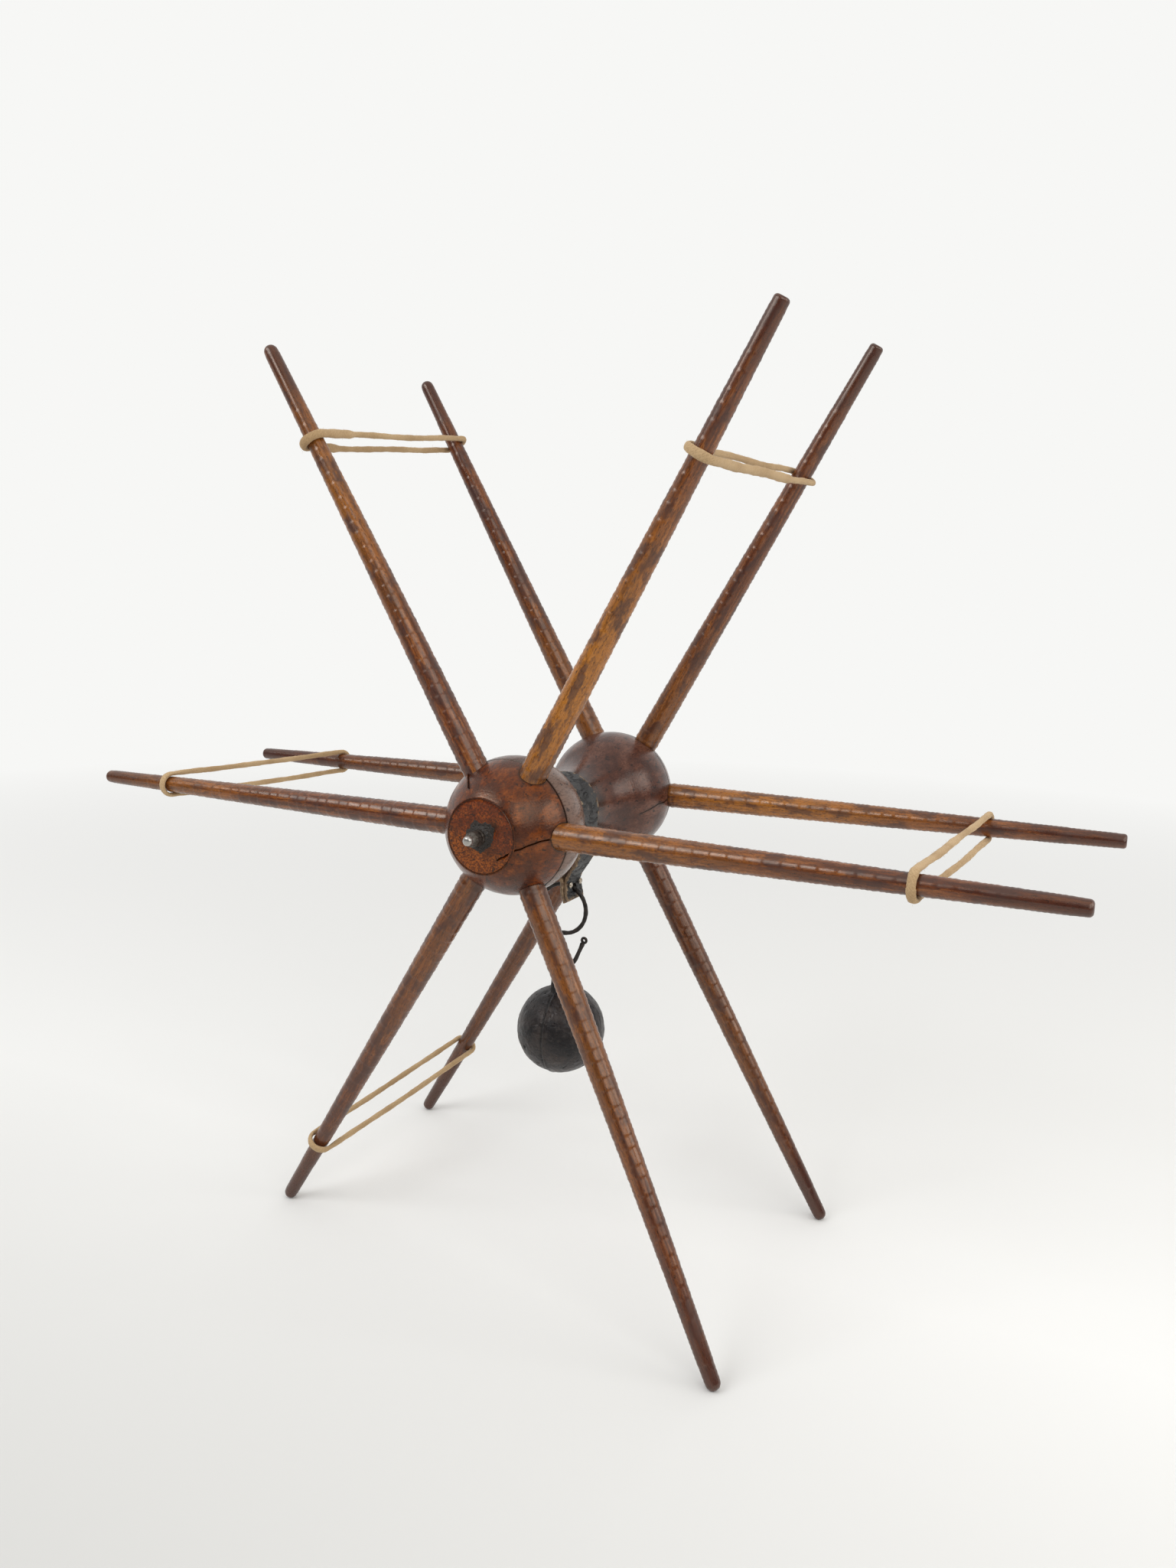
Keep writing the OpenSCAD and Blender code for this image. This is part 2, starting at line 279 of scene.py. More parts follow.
def make_floor():
    """A round sheet of pale paper that turns up into a wall all the way round, painted darker
    towards the camera's side as painted shade. The wall only backs the picture: it neither
    lights the object nor shows in its gloss."""
    flat, bend, wall = 2.2, 1.2, 3.6
    turn = full_turn(5)
    pale = (0.93, 0.93, 0.915)

    def sheet(name, profile, material, **options):
        grid = np.array([[(r * math.cos(a), r * math.sin(a), z) for a in turn] for r, z in profile])
        return grid_piece(name, grid, material, **options)

    paper = Finish("paper")
    place = paper.node("TexCoord").outputs["Object"]
    away = paper.node("VectorMath", {0: place}, operation="LENGTH").outputs["Value"]
    # Painted shade: the paper's colour darkens towards -Y, the camera's side, from 0.89 to 0.50.
    toward = paper.node("VectorMath", {0: place, 1: (0.05, -1.0, 0)}, operation="DOT_PRODUCT")
    painted_shade_share = paper.step(toward.outputs["Value"], 0.0, 0.50)
    paper_with_painted_shade = paper.mix(painted_shade_share, (0.89, 0.888, 0.870), (0.50, 0.497, 0.480))
    mottle = paper.noise(place, 900, 3)
    paper.look(paper_with_painted_shade, 0.9, paper.bump(mottle, 0.05, 0.0002), {"Specular IOR Level": 0.1})
    glow = paper.node("Emission", {"Color": pale})
    blend = paper.node("MixShader", {0: paper.step(away, 0.42, 1.7), 1: paper.shader.outputs[0],
                                     2: glow.outputs[0]})
    paper.links.new(blend.outputs[0], paper.out.inputs[0])
    radii = [0.02, 0.3, 0.6, 0.9, 1.2, 1.6, flat]
    floor = sheet("studio_floor", [(r, 0) for r in radii], paper.material, ends=[(0, 0, 0)])

    back = Finish("backdrop")
    glow = back.node("Emission", {"Color": pale})
    back.links.new(glow.outputs[0], back.out.inputs[0])
    profile = [(flat + bend * math.sin(a), bend - bend * math.cos(a))
               for a in np.radians(np.arange(0, 91, 7.5))]
    profile.append((flat + bend, wall))
    sweep = sheet("studio_wall", profile, back.material)
    sweep.visible_diffuse = False
    sweep.visible_glossy = False
    sweep.visible_shadow = False


def make_light(name, direction, distance, size, power, colour, aim=(0, 0, 0.24)):
    data = bpy.data.lights.new(name, "AREA")
    data.shape = "RECTANGLE"
    data.size, data.size_y = size
    data.energy = power
    data.color = colour
    light = add_object(name, data)
    direction = Vector(direction).normalized()
    light.location = Vector(aim) + direction * distance
    light.rotation_euler = direction.to_track_quat("Z", "Y").to_euler()


ROOM_DIM, ROOM_BRIGHT = 0.10, 0.86


def make_world():
    """A room that is bright on the paper's side and dim on the other, with a soft ceiling."""
    world = bpy.data.worlds.new("studio")
    world.use_nodes = True
    room = Nodes(world.node_tree)
    way = room.node("TexCoord").outputs["Generated"]

    def facing(direction, low, high):
        dot = room.node("VectorMath", {0: way, 1: direction}, operation="DOT_PRODUCT")
        values = {"Value": dot.outputs["Value"], "From Min": low, "From Max": high}
        return room.node("MapRange", values, interpolation_type="SMOOTHSTEP").outputs[0]

    paper_side = facing((-0.46, 0.89, 0.0), -0.35, 0.45)
    ceiling = facing((0, 0, 1), 0.55, 0.95)
    lit = room.math("MAXIMUM", paper_side, ceiling)
    room.fill(room.nodes["Background"], {
        "Color": (1, 0.995, 0.985), "Strength": room.step(lit, 0, 1, ROOM_DIM, ROOM_BRIGHT)})
    bpy.context.scene.world = world


def make_lights():
    make_world()
    make_light("window_right", (0.62, -0.55, 0.52), 1.6, (1.2, 1.0), 8.6, (1, 0.985, 0.96))
    make_light("window_side", (0.92, 0.10, 0.42), 1.6, (0.9, 0.8), 6.2, (1, 0.99, 0.97))
    make_light("window_left", (-0.43, -0.67, 0.60), 1.6, (1.1, 0.55), 11.0, (0.97, 0.985, 1))
    bpy.context.scene.view_settings.view_transform = "Standard"


# ---------- materials ----------

class Nodes:
    """Short ways to add nodes to a tree and to link them."""

    def __init__(self, tree):
        self.nodes, self.links = tree.nodes, tree.links

    def fill(self, node, values):
        for key, value in values.items():
            socket = node.inputs[key]
            if isinstance(value, bpy.types.NodeSocket):
                self.links.new(value, socket)
            else:
                socket.default_value = (*value, 1) if socket.type == "RGBA" else value

    def node(self, kind, values=None, **settings):
        node = self.nodes.new("ShaderNode" + kind)
        for key, value in settings.items():
            setattr(node, key, value)
        self.fill(node, values or {})
        return node

    def value(self, name, share=None):
        """A value painted on the piece, or a share of it."""
        value = self.node("Attribute", attribute_name=name).outputs["Fac"]
        return value if share is None else self.math("MULTIPLY", value, share)

    def grain(self, across, along):
        """The piece's own grain coordinates, scaled across and along the grain."""
        place = self.node("Attribute", attribute_name="grain").outputs["Vector"]
        return self.node("Mapping", {"Vector": place, "Scale": (across, across, along)}).outputs[0]

    def noise(self, vector, scale=1.0, detail=4.0, roughness=0.55, distortion=0.0):
        return self.node("TexNoise", {
            "Vector": vector, "Scale": scale, "Detail": detail,
            "Roughness": roughness, "Distortion": distortion}).outputs[0]

    def step(self, value, low, high, out_low=0.0, out_high=1.0):
        return self.node("MapRange", {
            "Value": value, "From Min": low, "From Max": high,
            "To Min": out_low, "To Max": out_high}).outputs[0]

    def math(self, operation, a, b):
        return self.node("Math", {0: a, 1: b}, operation=operation).outputs[0]

    def mix(self, share, a, b):
        return self.node("Mix", {0: share, 6: a, 7: b}, data_type="RGBA").outputs[2]

    def ramp(self, value, *stops):
        node = self.node("ValToRGB", {0: value})
        elements = node.color_ramp.elements
        while len(elements) < len(stops):
            elements.new(0.5)
        for element, (place, colour) in zip(elements, stops):
            element.position = place
            element.color = (*colour, 1)
        return node.outputs[0]

    def bump(self, height, strength, distance, normal=None):
        values = {"Height": height, "Strength": strength, "Distance": distance}
        if normal is not None:
            values["Normal"] = normal
        return self.node("Bump", values).outputs[0]


class Finish(Nodes):
    """A node material as it is put together."""

    def __init__(self, name):
        self.material = bpy.data.materials.new(name)
        self.material.use_nodes = True
        super().__init__(self.material.node_tree)
        self.nodes.clear()
        self.out = self.node("OutputMaterial")
        self.shader = self.node("BsdfPrincipled")
        self.links.new(self.shader.outputs[0], self.out.inputs[0])

    def look(self, colour, roughness, normal=None, others=None):
        values = {"Base Color": colour, "Roughness": roughness, **(others or {})}
        if normal is not None:
            values["Normal"] = normal
        self.fill(self.shader, values)
        return self.material


def spoke_wood():
    """Waxed brown hardwood: long streaks, short dark flecks, worn golden stretches."""
    f = Finish("spoke_wood")
    streak = f.noise(f.grain(420, 30), detail=5, roughness=0.62)
    fleck = f.noise(f.grain(900, 150), detail=4, roughness=0.62)
    blotch = f.noise(f.grain(170, 60), detail=4, roughness=0.60)
    pore = f.noise(f.grain(2300, 420), detail=2, roughness=0.6)
    colour = f.ramp(streak, (0.38, (0.058, 0.013, 0.006)), (0.46, (0.115, 0.028, 0.009)),
                    (0.55, (0.200, 0.056, 0.013)), (0.66, (0.310, 0.105, 0.026)))
    colour = f.mix(f.value("glow"), colour, (0.430, 0.158, 0.020))
    colour = f.mix(f.step(fleck, 0.47, 0.62, 0.0, 0.50), colour, (0.062, 0.015, 0.007))
    colour = f.mix(f.step(blotch, 0.51, 0.60, 0.0, 0.70), colour, (0.038, 0.012, 0.012))
    colour = f.mix(f.value("dark"), colour, (0.056, 0.015, 0.009))
    pores = f.step(pore, 0.57, 0.64)
    colour = f.mix(f.math("MULTIPLY", pores, 0.7), colour, (0.018, 0.006, 0.004))
    wear = f.step(blotch, 0.35, 0.65, 0.20, 0.36)
    height = f.math("ADD", f.math("MULTIPLY", pores, -0.5), f.math("MULTIPLY", streak, 0.4))
    return f.look(colour, wear, f.bump(height, 0.10, 0.0002),
                  {"Specular IOR Level": 0.80, "Specular Tint": (1.0, 0.87, 0.76)})


def hub_wood():
    """Turned hardwood, grain along the axle: end-grain pores on the discs, dusty inner sides with
    painted sheen, and a painted warm highlight on the front ball.
    """
    f = Finish("hub_wood")
    streak = f.noise(f.grain(260, 75), detail=6, roughness=0.62, distortion=0.3)
    blotch = f.noise(f.grain(95, 70), detail=5, roughness=0.66)
    fleck = f.noise(f.grain(1100, 300), detail=3, roughness=0.6)
    speck = f.noise(f.grain(360, 260), detail=3)
    stipple = f.noise(f.grain(1050, 900), detail=2, roughness=0.7)
    colour = f.ramp(streak, (0.36, (0.066, 0.013, 0.005)), (0.50, (0.132, 0.028, 0.007)),
                    (0.64, (0.215, 0.055, 0.012)))
    # On the balls this value is a painted warm highlight; on the disc, below, it is the face's own
    # warmer tone.
    colour = f.mix(f.value("warm", 0.4), colour, (0.230, 0.062, 0.011))
    colour = f.mix(f.step(blotch, 0.48, 0.58, 0.0, 0.80), colour, (0.052, 0.017, 0.012))
    face = f.ramp(streak, (0.38, (0.080, 0.010, 0.004)), (0.50, (0.160, 0.023, 0.006)),
                  (0.62, (0.270, 0.054, 0.008)))
    face = f.mix(f.value("warm", 0.8), face, (0.330, 0.085, 0.010))
    face = f.mix(f.step(stipple, 0.48, 0.54, 0.0, 0.8), face, (0.060, 0.010, 0.004))
    face = f.mix(f.step(blotch, 0.54, 0.64, 0.0, 0.6), face, (0.045, 0.012, 0.009))
    colour = f.mix(f.value("disc"), colour, face)
    # Dust and painted sheen: a greyer colour on the inner sides and the rear ball.
    dusty = f.ramp(blotch, (0.38, (0.130, 0.058, 0.040)), (0.50, (0.075, 0.028, 0.019)),
                   (0.62, (0.042, 0.014, 0.010)))
    colour = f.mix(f.value("dust"), colour, dusty)
    # Pale dust with a painted highlight on the right of the front core.
    colour = f.mix(f.value("pale"), colour, (0.200, 0.125, 0.092))
    colour = f.mix(f.step(fleck, 0.50, 0.62, 0.0, 0.55), colour, (0.036, 0.011, 0.007))
    colour = f.mix(f.step(speck, 0.61, 0.66, 0.0, 0.8), colour, (0.014, 0.006, 0.006))
    colour = f.mix(f.value("dirt"), colour, (0.006, 0.004, 0.003))
    rough = f.step(blotch, 0.3, 0.7, 0.15, 0.30)
    rings = f.node("TexWave", {"Vector": f.grain(1, 1), "Scale": 260, "Distortion": 1.5},
                   bands_direction="Z").outputs[1]
    normal = f.bump(rings, 0.10, 0.0001)
    height = f.math("ADD", f.math("MULTIPLY", fleck, -1.0), stipple)
    tint = f.mix(f.value("dust"), (1.0, 0.76, 0.58), (1.0, 0.95, 0.90))
    return f.look(colour, rough, f.bump(height, 0.34, 0.0002, normal),
                  {"Specular IOR Level": 0.50, "Specular Tint": tint})


def spindle_steel():
    f = Finish("spindle_steel")
    stain = f.noise(f.grain(700, 500), detail=4)
    colour = f.mix(f.step(stain, 0.4, 0.65), (0.13, 0.115, 0.10), (0.05, 0.038, 0.030))
    colour = f.mix(f.value("bright"), colour, (0.46, 0.44, 0.41))
    rough = f.math("SUBTRACT", 0.50, f.value("bright", 0.20))
    lines = f.noise(f.grain(400, 9000), detail=2)
    return f.look(colour, rough, f.bump(lines, 0.25, 0.00005), {"Metallic": 0.9})


def old_grease():
    f = Finish("old_grease")
    lump = f.noise(f.grain(1100, 1100), detail=5, roughness=0.65)
    colour = f.ramp(lump, (0.35, (0.007, 0.006, 0.005)), (0.6, (0.028, 0.019, 0.013)),
                    (0.75, (0.075, 0.048, 0.026)))
    return f.look(colour, f.step(lump, 0.3, 0.7, 0.35, 0.75), f.bump(lump, 0.8, 0.0004))


def cotton():
    """Buff braid, darker in the grooves, with a soft woolly edge."""
    f = Finish("cord_cotton")
    soil = f.noise(f.grain(45, 45), detail=4)
    thread = f.noise(f.grain(2600, 2600), detail=3)
    colour = f.mix(f.step(soil, 0.38, 0.68), (0.560, 0.390, 0.215), (0.400, 0.255, 0.125))
    colour = f.mix(f.step(thread, 0.4, 0.7, 0.0, 0.35), colour, (0.64, 0.48, 0.29))
    colour = f.mix(f.value("groove", 0.5), colour, (0.260, 0.150, 0.070))
    return f.look(colour, 0.85, f.bump(thread, 0.35, 0.0001), {
        "Specular IOR Level": 0.2, "Sheen Weight": 0.2, "Sheen Roughness": 0.5,
        "Sheen Tint": (0.95, 0.85, 0.70)})


def leather():
    """Black finish on brown hide: crazed with dark cracks, chipped tan, raw at the edges."""
    f = Finish("strap_leather")
    cloud = f.noise(f.grain(140, 140), detail=4)
    chip = f.noise(f.grain(420, 420), detail=4, roughness=0.7)
    craze = f.noise(f.grain(900, 420), detail=3, roughness=0.6)
    skin = f.mix(f.step(cloud, 0.35, 0.65), (0.012, 0.013, 0.014), (0.048, 0.048, 0.047))
    skin = f.mix(f.step(craze, 0.53, 0.58, 0.0, 0.9), skin, (0.002, 0.002, 0.002))
    raw = f.mix(f.step(chip, 0.35, 0.65), (0.085, 0.040, 0.018), (0.420, 0.290, 0.170))
    bare = f.math("MAXIMUM", f.value("raw"), f.step(chip, 0.65, 0.68))
    colour = f.mix(bare, skin, raw)
    colour = f.mix(f.value("groove", 0.8), colour, (0.004, 0.003, 0.003))
    pebble = f.noise(f.grain(1500, 1500), detail=3)
    height = f.math("ADD", pebble, f.math("SUBTRACT", chip, craze))
    return f.look(colour, f.step(cloud, 0.3, 0.7, 0.34, 0.56), f.bump(height, 0.6, 0.0003))


def rivet_steel():
    f = Finish("rivet_steel")
    stain = f.noise(f.grain(1500, 1500), detail=3)
    colour = f.mix(f.step(stain, 0.45, 0.65), (0.55, 0.50, 0.42), (0.20, 0.14, 0.09))
    return f.look(colour, f.step(stain, 0.3, 0.7, 0.25, 0.5), others={"Metallic": 0.85})


def forged_iron():
    f = Finish("hook_iron")
    scale = f.noise(f.grain(800, 800), detail=4)
    colour = f.ramp(scale, (0.35, (0.016, 0.014, 0.013)), (0.6, (0.045, 0.037, 0.032)),
                    (0.75, (0.085, 0.052, 0.034)))
    rough = f.step(scale, 0.3, 0.7, 0.36, 0.6)
    return f.look(colour, rough, f.bump(scale, 0.4, 0.0002), {"Metallic": 0.55})


def cast_iron():
    f = Finish("weight_iron")
    cloud = f.noise(f.grain(85, 85), detail=6, roughness=0.66)
    sand = f.noise(f.grain(900, 900), detail=3)
    scale = f.noise(f.grain(330, 330), detail=4, roughness=0.65)
    colour = f.ramp(cloud, (0.38, (0.006, 0.005, 0.006)), (0.50, (0.017, 0.013, 0.013)),
                    (0.62, (0.040, 0.029, 0.025)))
    colour = f.mix(f.step(scale, 0.54, 0.66, 0.0, 0.5), colour, (0.062, 0.050, 0.045))
    colour = f.mix(f.step(sand, 0.62, 0.72, 0.0, 0.4), colour, (0.085, 0.060, 0.046))
    colour = f.mix(f.value("groove", 0.85), colour, (0.004, 0.004, 0.004))
    rough = f.step(scale, 0.35, 0.65, 0.26, 0.52)
    normal = f.bump(f.math("ADD", sand, scale), 0.5, 0.0005)
    return f.look(colour, rough, normal, {"Metallic": 0.25})


# ---------- spokes ----------

# Per spoke: how golden its worn stretch is and where along the spoke it lies, how dark the
# whole spoke is, its bow in mm, and the flat share of its tip.
SPOKE_LOOKS = {
    "front_spoke_1": (0.60, 0.75, 0.00, 0.3, 0.1), "front_spoke_2": (1.00, 0.25, 0.00, 0.3, 0.55),
    "front_spoke_3": (0.50, 0.15, 0.05, 0.2, 0.5), "front_spoke_4": (0.40, 0.30, 0.25, 1.1, 0.1),
    "front_spoke_5": (0.25, 0.25, 0.34, 0.3, 0.1), "front_spoke_6": (0.70, 0.95, 0.00, 0.2, 0.3),
    "rear_spoke_1": (0.40, 0.10, 0.15, 0.3, 0.1), "rear_spoke_2": (0.50, 0.02, 0.25, 0.3, 0.55),
    "rear_spoke_3": (0.85, 0.30, 0.00, 0.2, 0.6), "rear_spoke_4": (0.35, 0.55, 0.45, 0.4, 0.1),
    "rear_spoke_5": (0.20, 0.50, 0.45, -0.3, 0.1), "rear_spoke_6": (0.20, 0.40, 0.30, 0.2, 0.5),
}


def make_spoke(name, number, material):
    spoke = SPOKES[name]
    glow, glow_at, dark, bow, flat_share = SPOKE_LOOKS[name]
    side = SIDES[name.split("_")[0]]
    tip = 4 * MM * (1 - flat_share)
    shaft = np.arange(0, spoke.length - tip, 1.2 * MM)
    nose = spoke.length - tip + tip * np.sin(np.radians(np.arange(0, 86, 9)))
    t = np.concatenate([shaft, nose])
    turn = full_turn(9)
    dome = np.sqrt(np.clip(1 - ((t - spoke.length + tip) / tip).clip(0) ** 2, 0, 1))
    round_off = flat_share + (1 - flat_share) * dome
    radius = spoke.radius(np.minimum(t, spoke.length - 4 * MM)) * round_off
    ring = spoke.ring(turn)
    inside = smoothstep(t, 20 * MM, 60 * MM) * smoothstep(spoke.length - t, 0, 40 * MM)
    lean = bow * MM * np.sin(math.pi * t / spoke.length) * inside
    line = spoke.point(t) + np.outer(lean, side * spoke.up)
    grain = np.empty((len(t), len(turn), 3))
    grain[..., 0] = radius[:, None] * np.cos(turn)
    grain[..., 1] = radius[:, None] * np.sin(turn)
    grain[..., 2] = t[:, None]
    flat = grain.reshape(-1, 3)
    uneven = noise_at(flat * (1, 1, 0.25), 90, 2, number * 7.3).reshape(grain.shape[:2])
    nicks = noise_at(flat, 420, 2, number * 3.1).reshape(grain.shape[:2])
    worn = smoothstep(t, spoke.length - 9 * MM, spoke.length)[:, None]
    outside = smoothstep(t, 22 * MM, 30 * MM)[:, None]
    dent = outside * (-0.05 * (1 + uneven) - 0.16 * worn * nicks.clip(0)
                      - 0.14 * smoothstep(nicks, 0.62, 0.9)) * MM
    reach = radius[:, None] + dent * round_off[:, None]
    grid = line[:, None] + ring[None] * reach[..., None]
    ends = [line[0], spoke.start + spoke.axis * (spoke.length - 0.02 * MM)]
    obj = grid_piece(f"{name}_turned", grid, material, ends=ends)
    place = np.vstack([flat, [0, 0, 0], [0, 0, spoke.length]]) + number * 0.37
    along = np.concatenate([np.repeat(t, len(turn)), [0, spoke.length]]) / spoke.length
    tip_dark = smoothstep(along, 0.62, 1.0)
    bright = glow * bell(along - glow_at, 0.30) * (1 - 0.6 * tip_dark)
    dark = np.clip(dark + 0.70 * tip_dark ** 1.8, 0, 1)
    paint(obj, grain=place, glow=bright, dark=dark)
    finish_piece(obj, "root", "spoke_wood", name)


# ---------- hub ----------

def ball_arc(y_from, y_to, step=0.8 * MM):
    """Points (distance along the axle, radius) on a ball's outline."""
    a0, a1 = (math.acos(np.clip((y - BALL_Y) / BALL_R, -1, 1)) for y in (y_from, y_to))
    angles = np.linspace(a0, a1, max(3, int(abs(a1 - a0) * BALL_R / step)))
    return [(BALL_Y + BALL_R * math.cos(a), BALL_R * math.sin(a)) for a in angles]


def cove_line(start):
    """The hollow sweep from the waist until it runs onto the ball."""
    radius = ((BALL_Y - start) ** 2 + WAIST_R ** 2 - BALL_R ** 2) / (2 * (BALL_R - WAIST_R))
    end = math.atan2(BALL_Y - start, WAIST_R + radius)
    return [(start + radius * math.sin(a), WAIST_R + radius * (1 - math.cos(a)))
            for a in np.linspace(0, end, 40)]


def spread(points, step):
    """The same line with more points on its long stretches."""
    line = [points[0]]
    for a, b in zip(points, points[1:]):
        n = max(1, int(math.dist(a, b) / step))
        line += [tuple(np.add(a, np.subtract(b, a) * k / n)) for k in range(1, n + 1)]
    return line


def lathe(name, outline, material=None, closed=True, sides=220):
    """Turns an outline of (y, radius) about the axle. An open outline starts and ends on it."""
    turn = np.linspace(0, 2 * math.pi, sides, endpoint=False)
    body = outline if closed else outline[1:-1]
    ring = np.stack([np.cos(turn), np.zeros(sides), np.sin(turn)], 1)
    grid = np.array([AXIS + ring * r + Y * y for y, r in body])
    ends = () if closed else [AXIS + Y * outline[0][0], AXIS + Y * outline[-1][0]]
    return grid_piece(name, grid, material, wrap_rows=closed, ends=ends)


def socket_cutter(side):
    """Six cylinders a hair wider than the spokes."""
    points, faces = [], []
    turn = full_turn(7.5)
    for n in range(1, 7):
        spoke = SPOKES[f"{side}_spoke_{n}"]
        radius = spoke.radius(0) + 0.16 * MM
        first = len(points)
        for t in (-0.1 * MM, 24 * MM):
            points += list(spoke.point(t) + spoke.ring(turn) * radius)
        count = len(turn)
        low, high = list(range(first, first + count)), list(range(first + count, first + 2 * count))
        faces += [low, high[::-1]]
        faces += [[low[k], low[(k + 1) % count], high[(k + 1) % count], high[k]] for k in range(count)]
    return new_piece(f"{side}_socket_cutter", points, faces)


def outside_y(x, z):
    """Distance along the axle of the cap's outer skin over the point (x, z)."""
    return np.minimum(BALL_Y + np.sqrt(np.clip(BALL_R ** 2 - x ** 2 - z ** 2, 0, None)), DISC_Y)


def crack_cutter(name, place, width, depth):
    """A wedge that opens the wood along a line of places on the hub's skin."""
    centre = np.array([0, np.sign(place[0, 1]) * BALL_Y, 0])
    out = unit_rows(place - centre)
    half = (width / 2)[:, None]
    mouth = unit_rows(np.cross(np.gradient(place, axis=0), out)) * half * 1.5
    lip = AXIS + place + out * 1.0 * MM
    return closed_piece(name, np.stack([lip + mouth, lip - mouth, AXIS + place - out * depth], 1))


def crack_line(keys):
    """Points along a crack and its width there, from a few keys of (first, second, width)."""
    keys = np.array(keys, float)
    steps = np.linspace(0, len(keys) - 1, 12 * (len(keys) - 1) + 1)
    line = np.stack([np.interp(steps, range(len(keys)), keys[:, k]) for k in range(3)], 1)
    sway = 0.25 * (np.sin(steps * 3.1) + 0.4 * np.sin(steps * 7.3))
    line[:, 1] += sway * np.sin(steps / steps[-1] * math.pi)
    return line.T * MM


def cap_crack(*keys):
    """Places and widths of a crack in the front cap; keys hold x, z and width in mm."""
    x, z, width = crack_line(keys)
    return np.stack([x, -outside_y(x, z), z], 1), width


def core_crack(*keys):
    """The same on the rear half of the core; keys hold distance along the axle, height, width."""
    y, z, width = crack_line(keys)
    return np.stack([np.sqrt(BALL_R ** 2 - (y - BALL_Y) ** 2 - z ** 2), y, z], 1), width


# Per crack: its places, its widths and its depth.
CAP_CRACKS = [
    (*cap_crack((34.6, 1.2, 0.9), (33.6, 1.1, 0.8), (28, -0.7, 0.7), (21.7, -3.7, 0.7),
                (17.6, -5.2, 0.8)), 3 * MM),
    (*cap_crack((18.4, -4.9, 0.8), (14.6, -7.4, 0.8), (11.8, -9.2, 1.3), (9.4, -10.8, 0.4)),
     1.6 * MM),
    (*cap_crack((-19.7, 28.4, 0.6), (-18.2, 27.2, 0.6), (-14, 24.3, 0.4), (-11.2, 21.8, 0.2)),
     2 * MM)]
CORE_CRACKS = [
    (*core_crack((61.5, -0.4, 0.6), (58, -0.6, 0.5), (46, -1.9, 0.4), (34.5, -6.2, 0.2)), 2 * MM)]


def split(obj, cracks):
    """Opens the cracks in a hub piece and paints it."""
    for place, width, depth in cracks:
        wedge = crack_cutter("crack", place, width, depth)
        cut(obj, wedge)
        discard(wedge)
    paint_hub(obj, [place for place, _, _ in cracks])


def paint_hub(obj, cracks):
    """Writes where the hub is face; where it is dusty with a painted sheen; where it is pale, partly
    with a painted highlight; where it is warmer, as the disc's own tone and as a painted highlight
    on the front ball; and where it is dirty. A crack's lips are dirty, as are the joint, the rim
    of the face and the wood round the spokes; the waist is darker."""
    p = points_of(obj) - AXIS
    lips = np.full(len(p), 1.0)
    for line in cracks:
        lips = np.minimum(lips, np.linalg.norm(p[:, None] - line[None], axis=2).min(1))
    x, z = p[:, 0], p[:, 2]
    radial = np.hypot(x, z)
    y = abs(p[:, 1])
    front = p[:, 1] < 0
    grain = p[:, [0, 2, 1]] + np.where(front, 0, 0.31)[:, None]
    disc = smoothstep(y, DISC_Y - 0.8 * MM, DISC_Y - 0.5 * MM) * (radial < 19.2 * MM)
    rim = bell(radial - 18.8 * MM, 0.55 * MM) * smoothstep(y, DISC_Y - 1.2 * MM, DISC_Y - 0.6 * MM)
    joint = bell(y - JOINT_Y, 0.65 * MM)
    root = np.full(len(p), 1.0)
    for spoke in SPOKES.values():
        rel = p + AXIS - spoke.start
        t = rel @ spoke.axis
        away = np.linalg.norm(rel - np.outer(t, spoke.axis), axis=1) - spoke.radius(0)
        root = np.minimum(root, np.where(t > 0, abs(away), 1.0))
    inner = smoothstep(JOINT_Y - y, 0, 1 * MM)
    waist = smoothstep(WAIST_R + 1.5 * MM - radial, 0, 1.5 * MM) * (y < 22 * MM)
    # Dust and painted sheen: greyer on the inner sides and the rear ball, and a little on the lower
    # left of the front ball.
    dust = np.clip(np.where(front, 0.75 * inner, 0.55 + 0.3 * inner), 0, 1)
    dust = np.where(front & (y > JOINT_Y), 0.30 * smoothstep(-x - z, 0, 30 * MM), dust)
    # Painted highlight: a warmer patch on the upper right of the front ball.
    warm_ball = bell(x - 24 * MM, 9 * MM) * smoothstep(z, -18 * MM, 2 * MM) * front
    warm_disc = smoothstep(-z - 0.3 * x, -2 * MM, 9 * MM) * 0.9 + 0.2
    warm = np.clip(np.where(disc > 0.5, warm_disc, warm_ball), 0, 1)
    smudge = bell(np.hypot(x - 7.5 * MM, z - 6 * MM), 3.2 * MM) * front * (disc > 0.5)
    seams = 0.95 * bell(lips, 0.7 * MM) + 0.95 * joint + 0.9 * bell(root, 0.8 * MM) + 0.8 * rim
    dirt = np.clip(seams + 0.8 * smudge + 0.6 * waist, 0, 1)
    # Pale dust with a painted highlight, on the right of the front core's inner strip.
    pale = 0.75 * inner * smoothstep(x, 0, 20 * MM) * front * (y > 20 * MM)
    paint(obj, grain=grain, disc=disc, dust=dust * (1 - disc), dirt=dirt, warm=warm, pale=pale)
    shade(obj, 35)


def dent_hub(obj):
    """Slight unevenness of hand turning, kept inside the true outline."""
    depth = 0.12 * MM
    p = points_of(obj)
    rel = p - AXIS
    radial = np.hypot(rel[:, 0], rel[:, 2])
    shape = noise_at(p, 60, 3) + 0.5 * noise_at(p, 260, 2, 5.0)
    free = smoothstep(radial, WAIST_R, WAIST_R + 4 * MM)
    inward = rel * (1, 0, 1) / np.maximum(radial, 1e-6)[:, None]
    move_points(obj, p - inward * (depth * abs(shape) * free)[:, None])


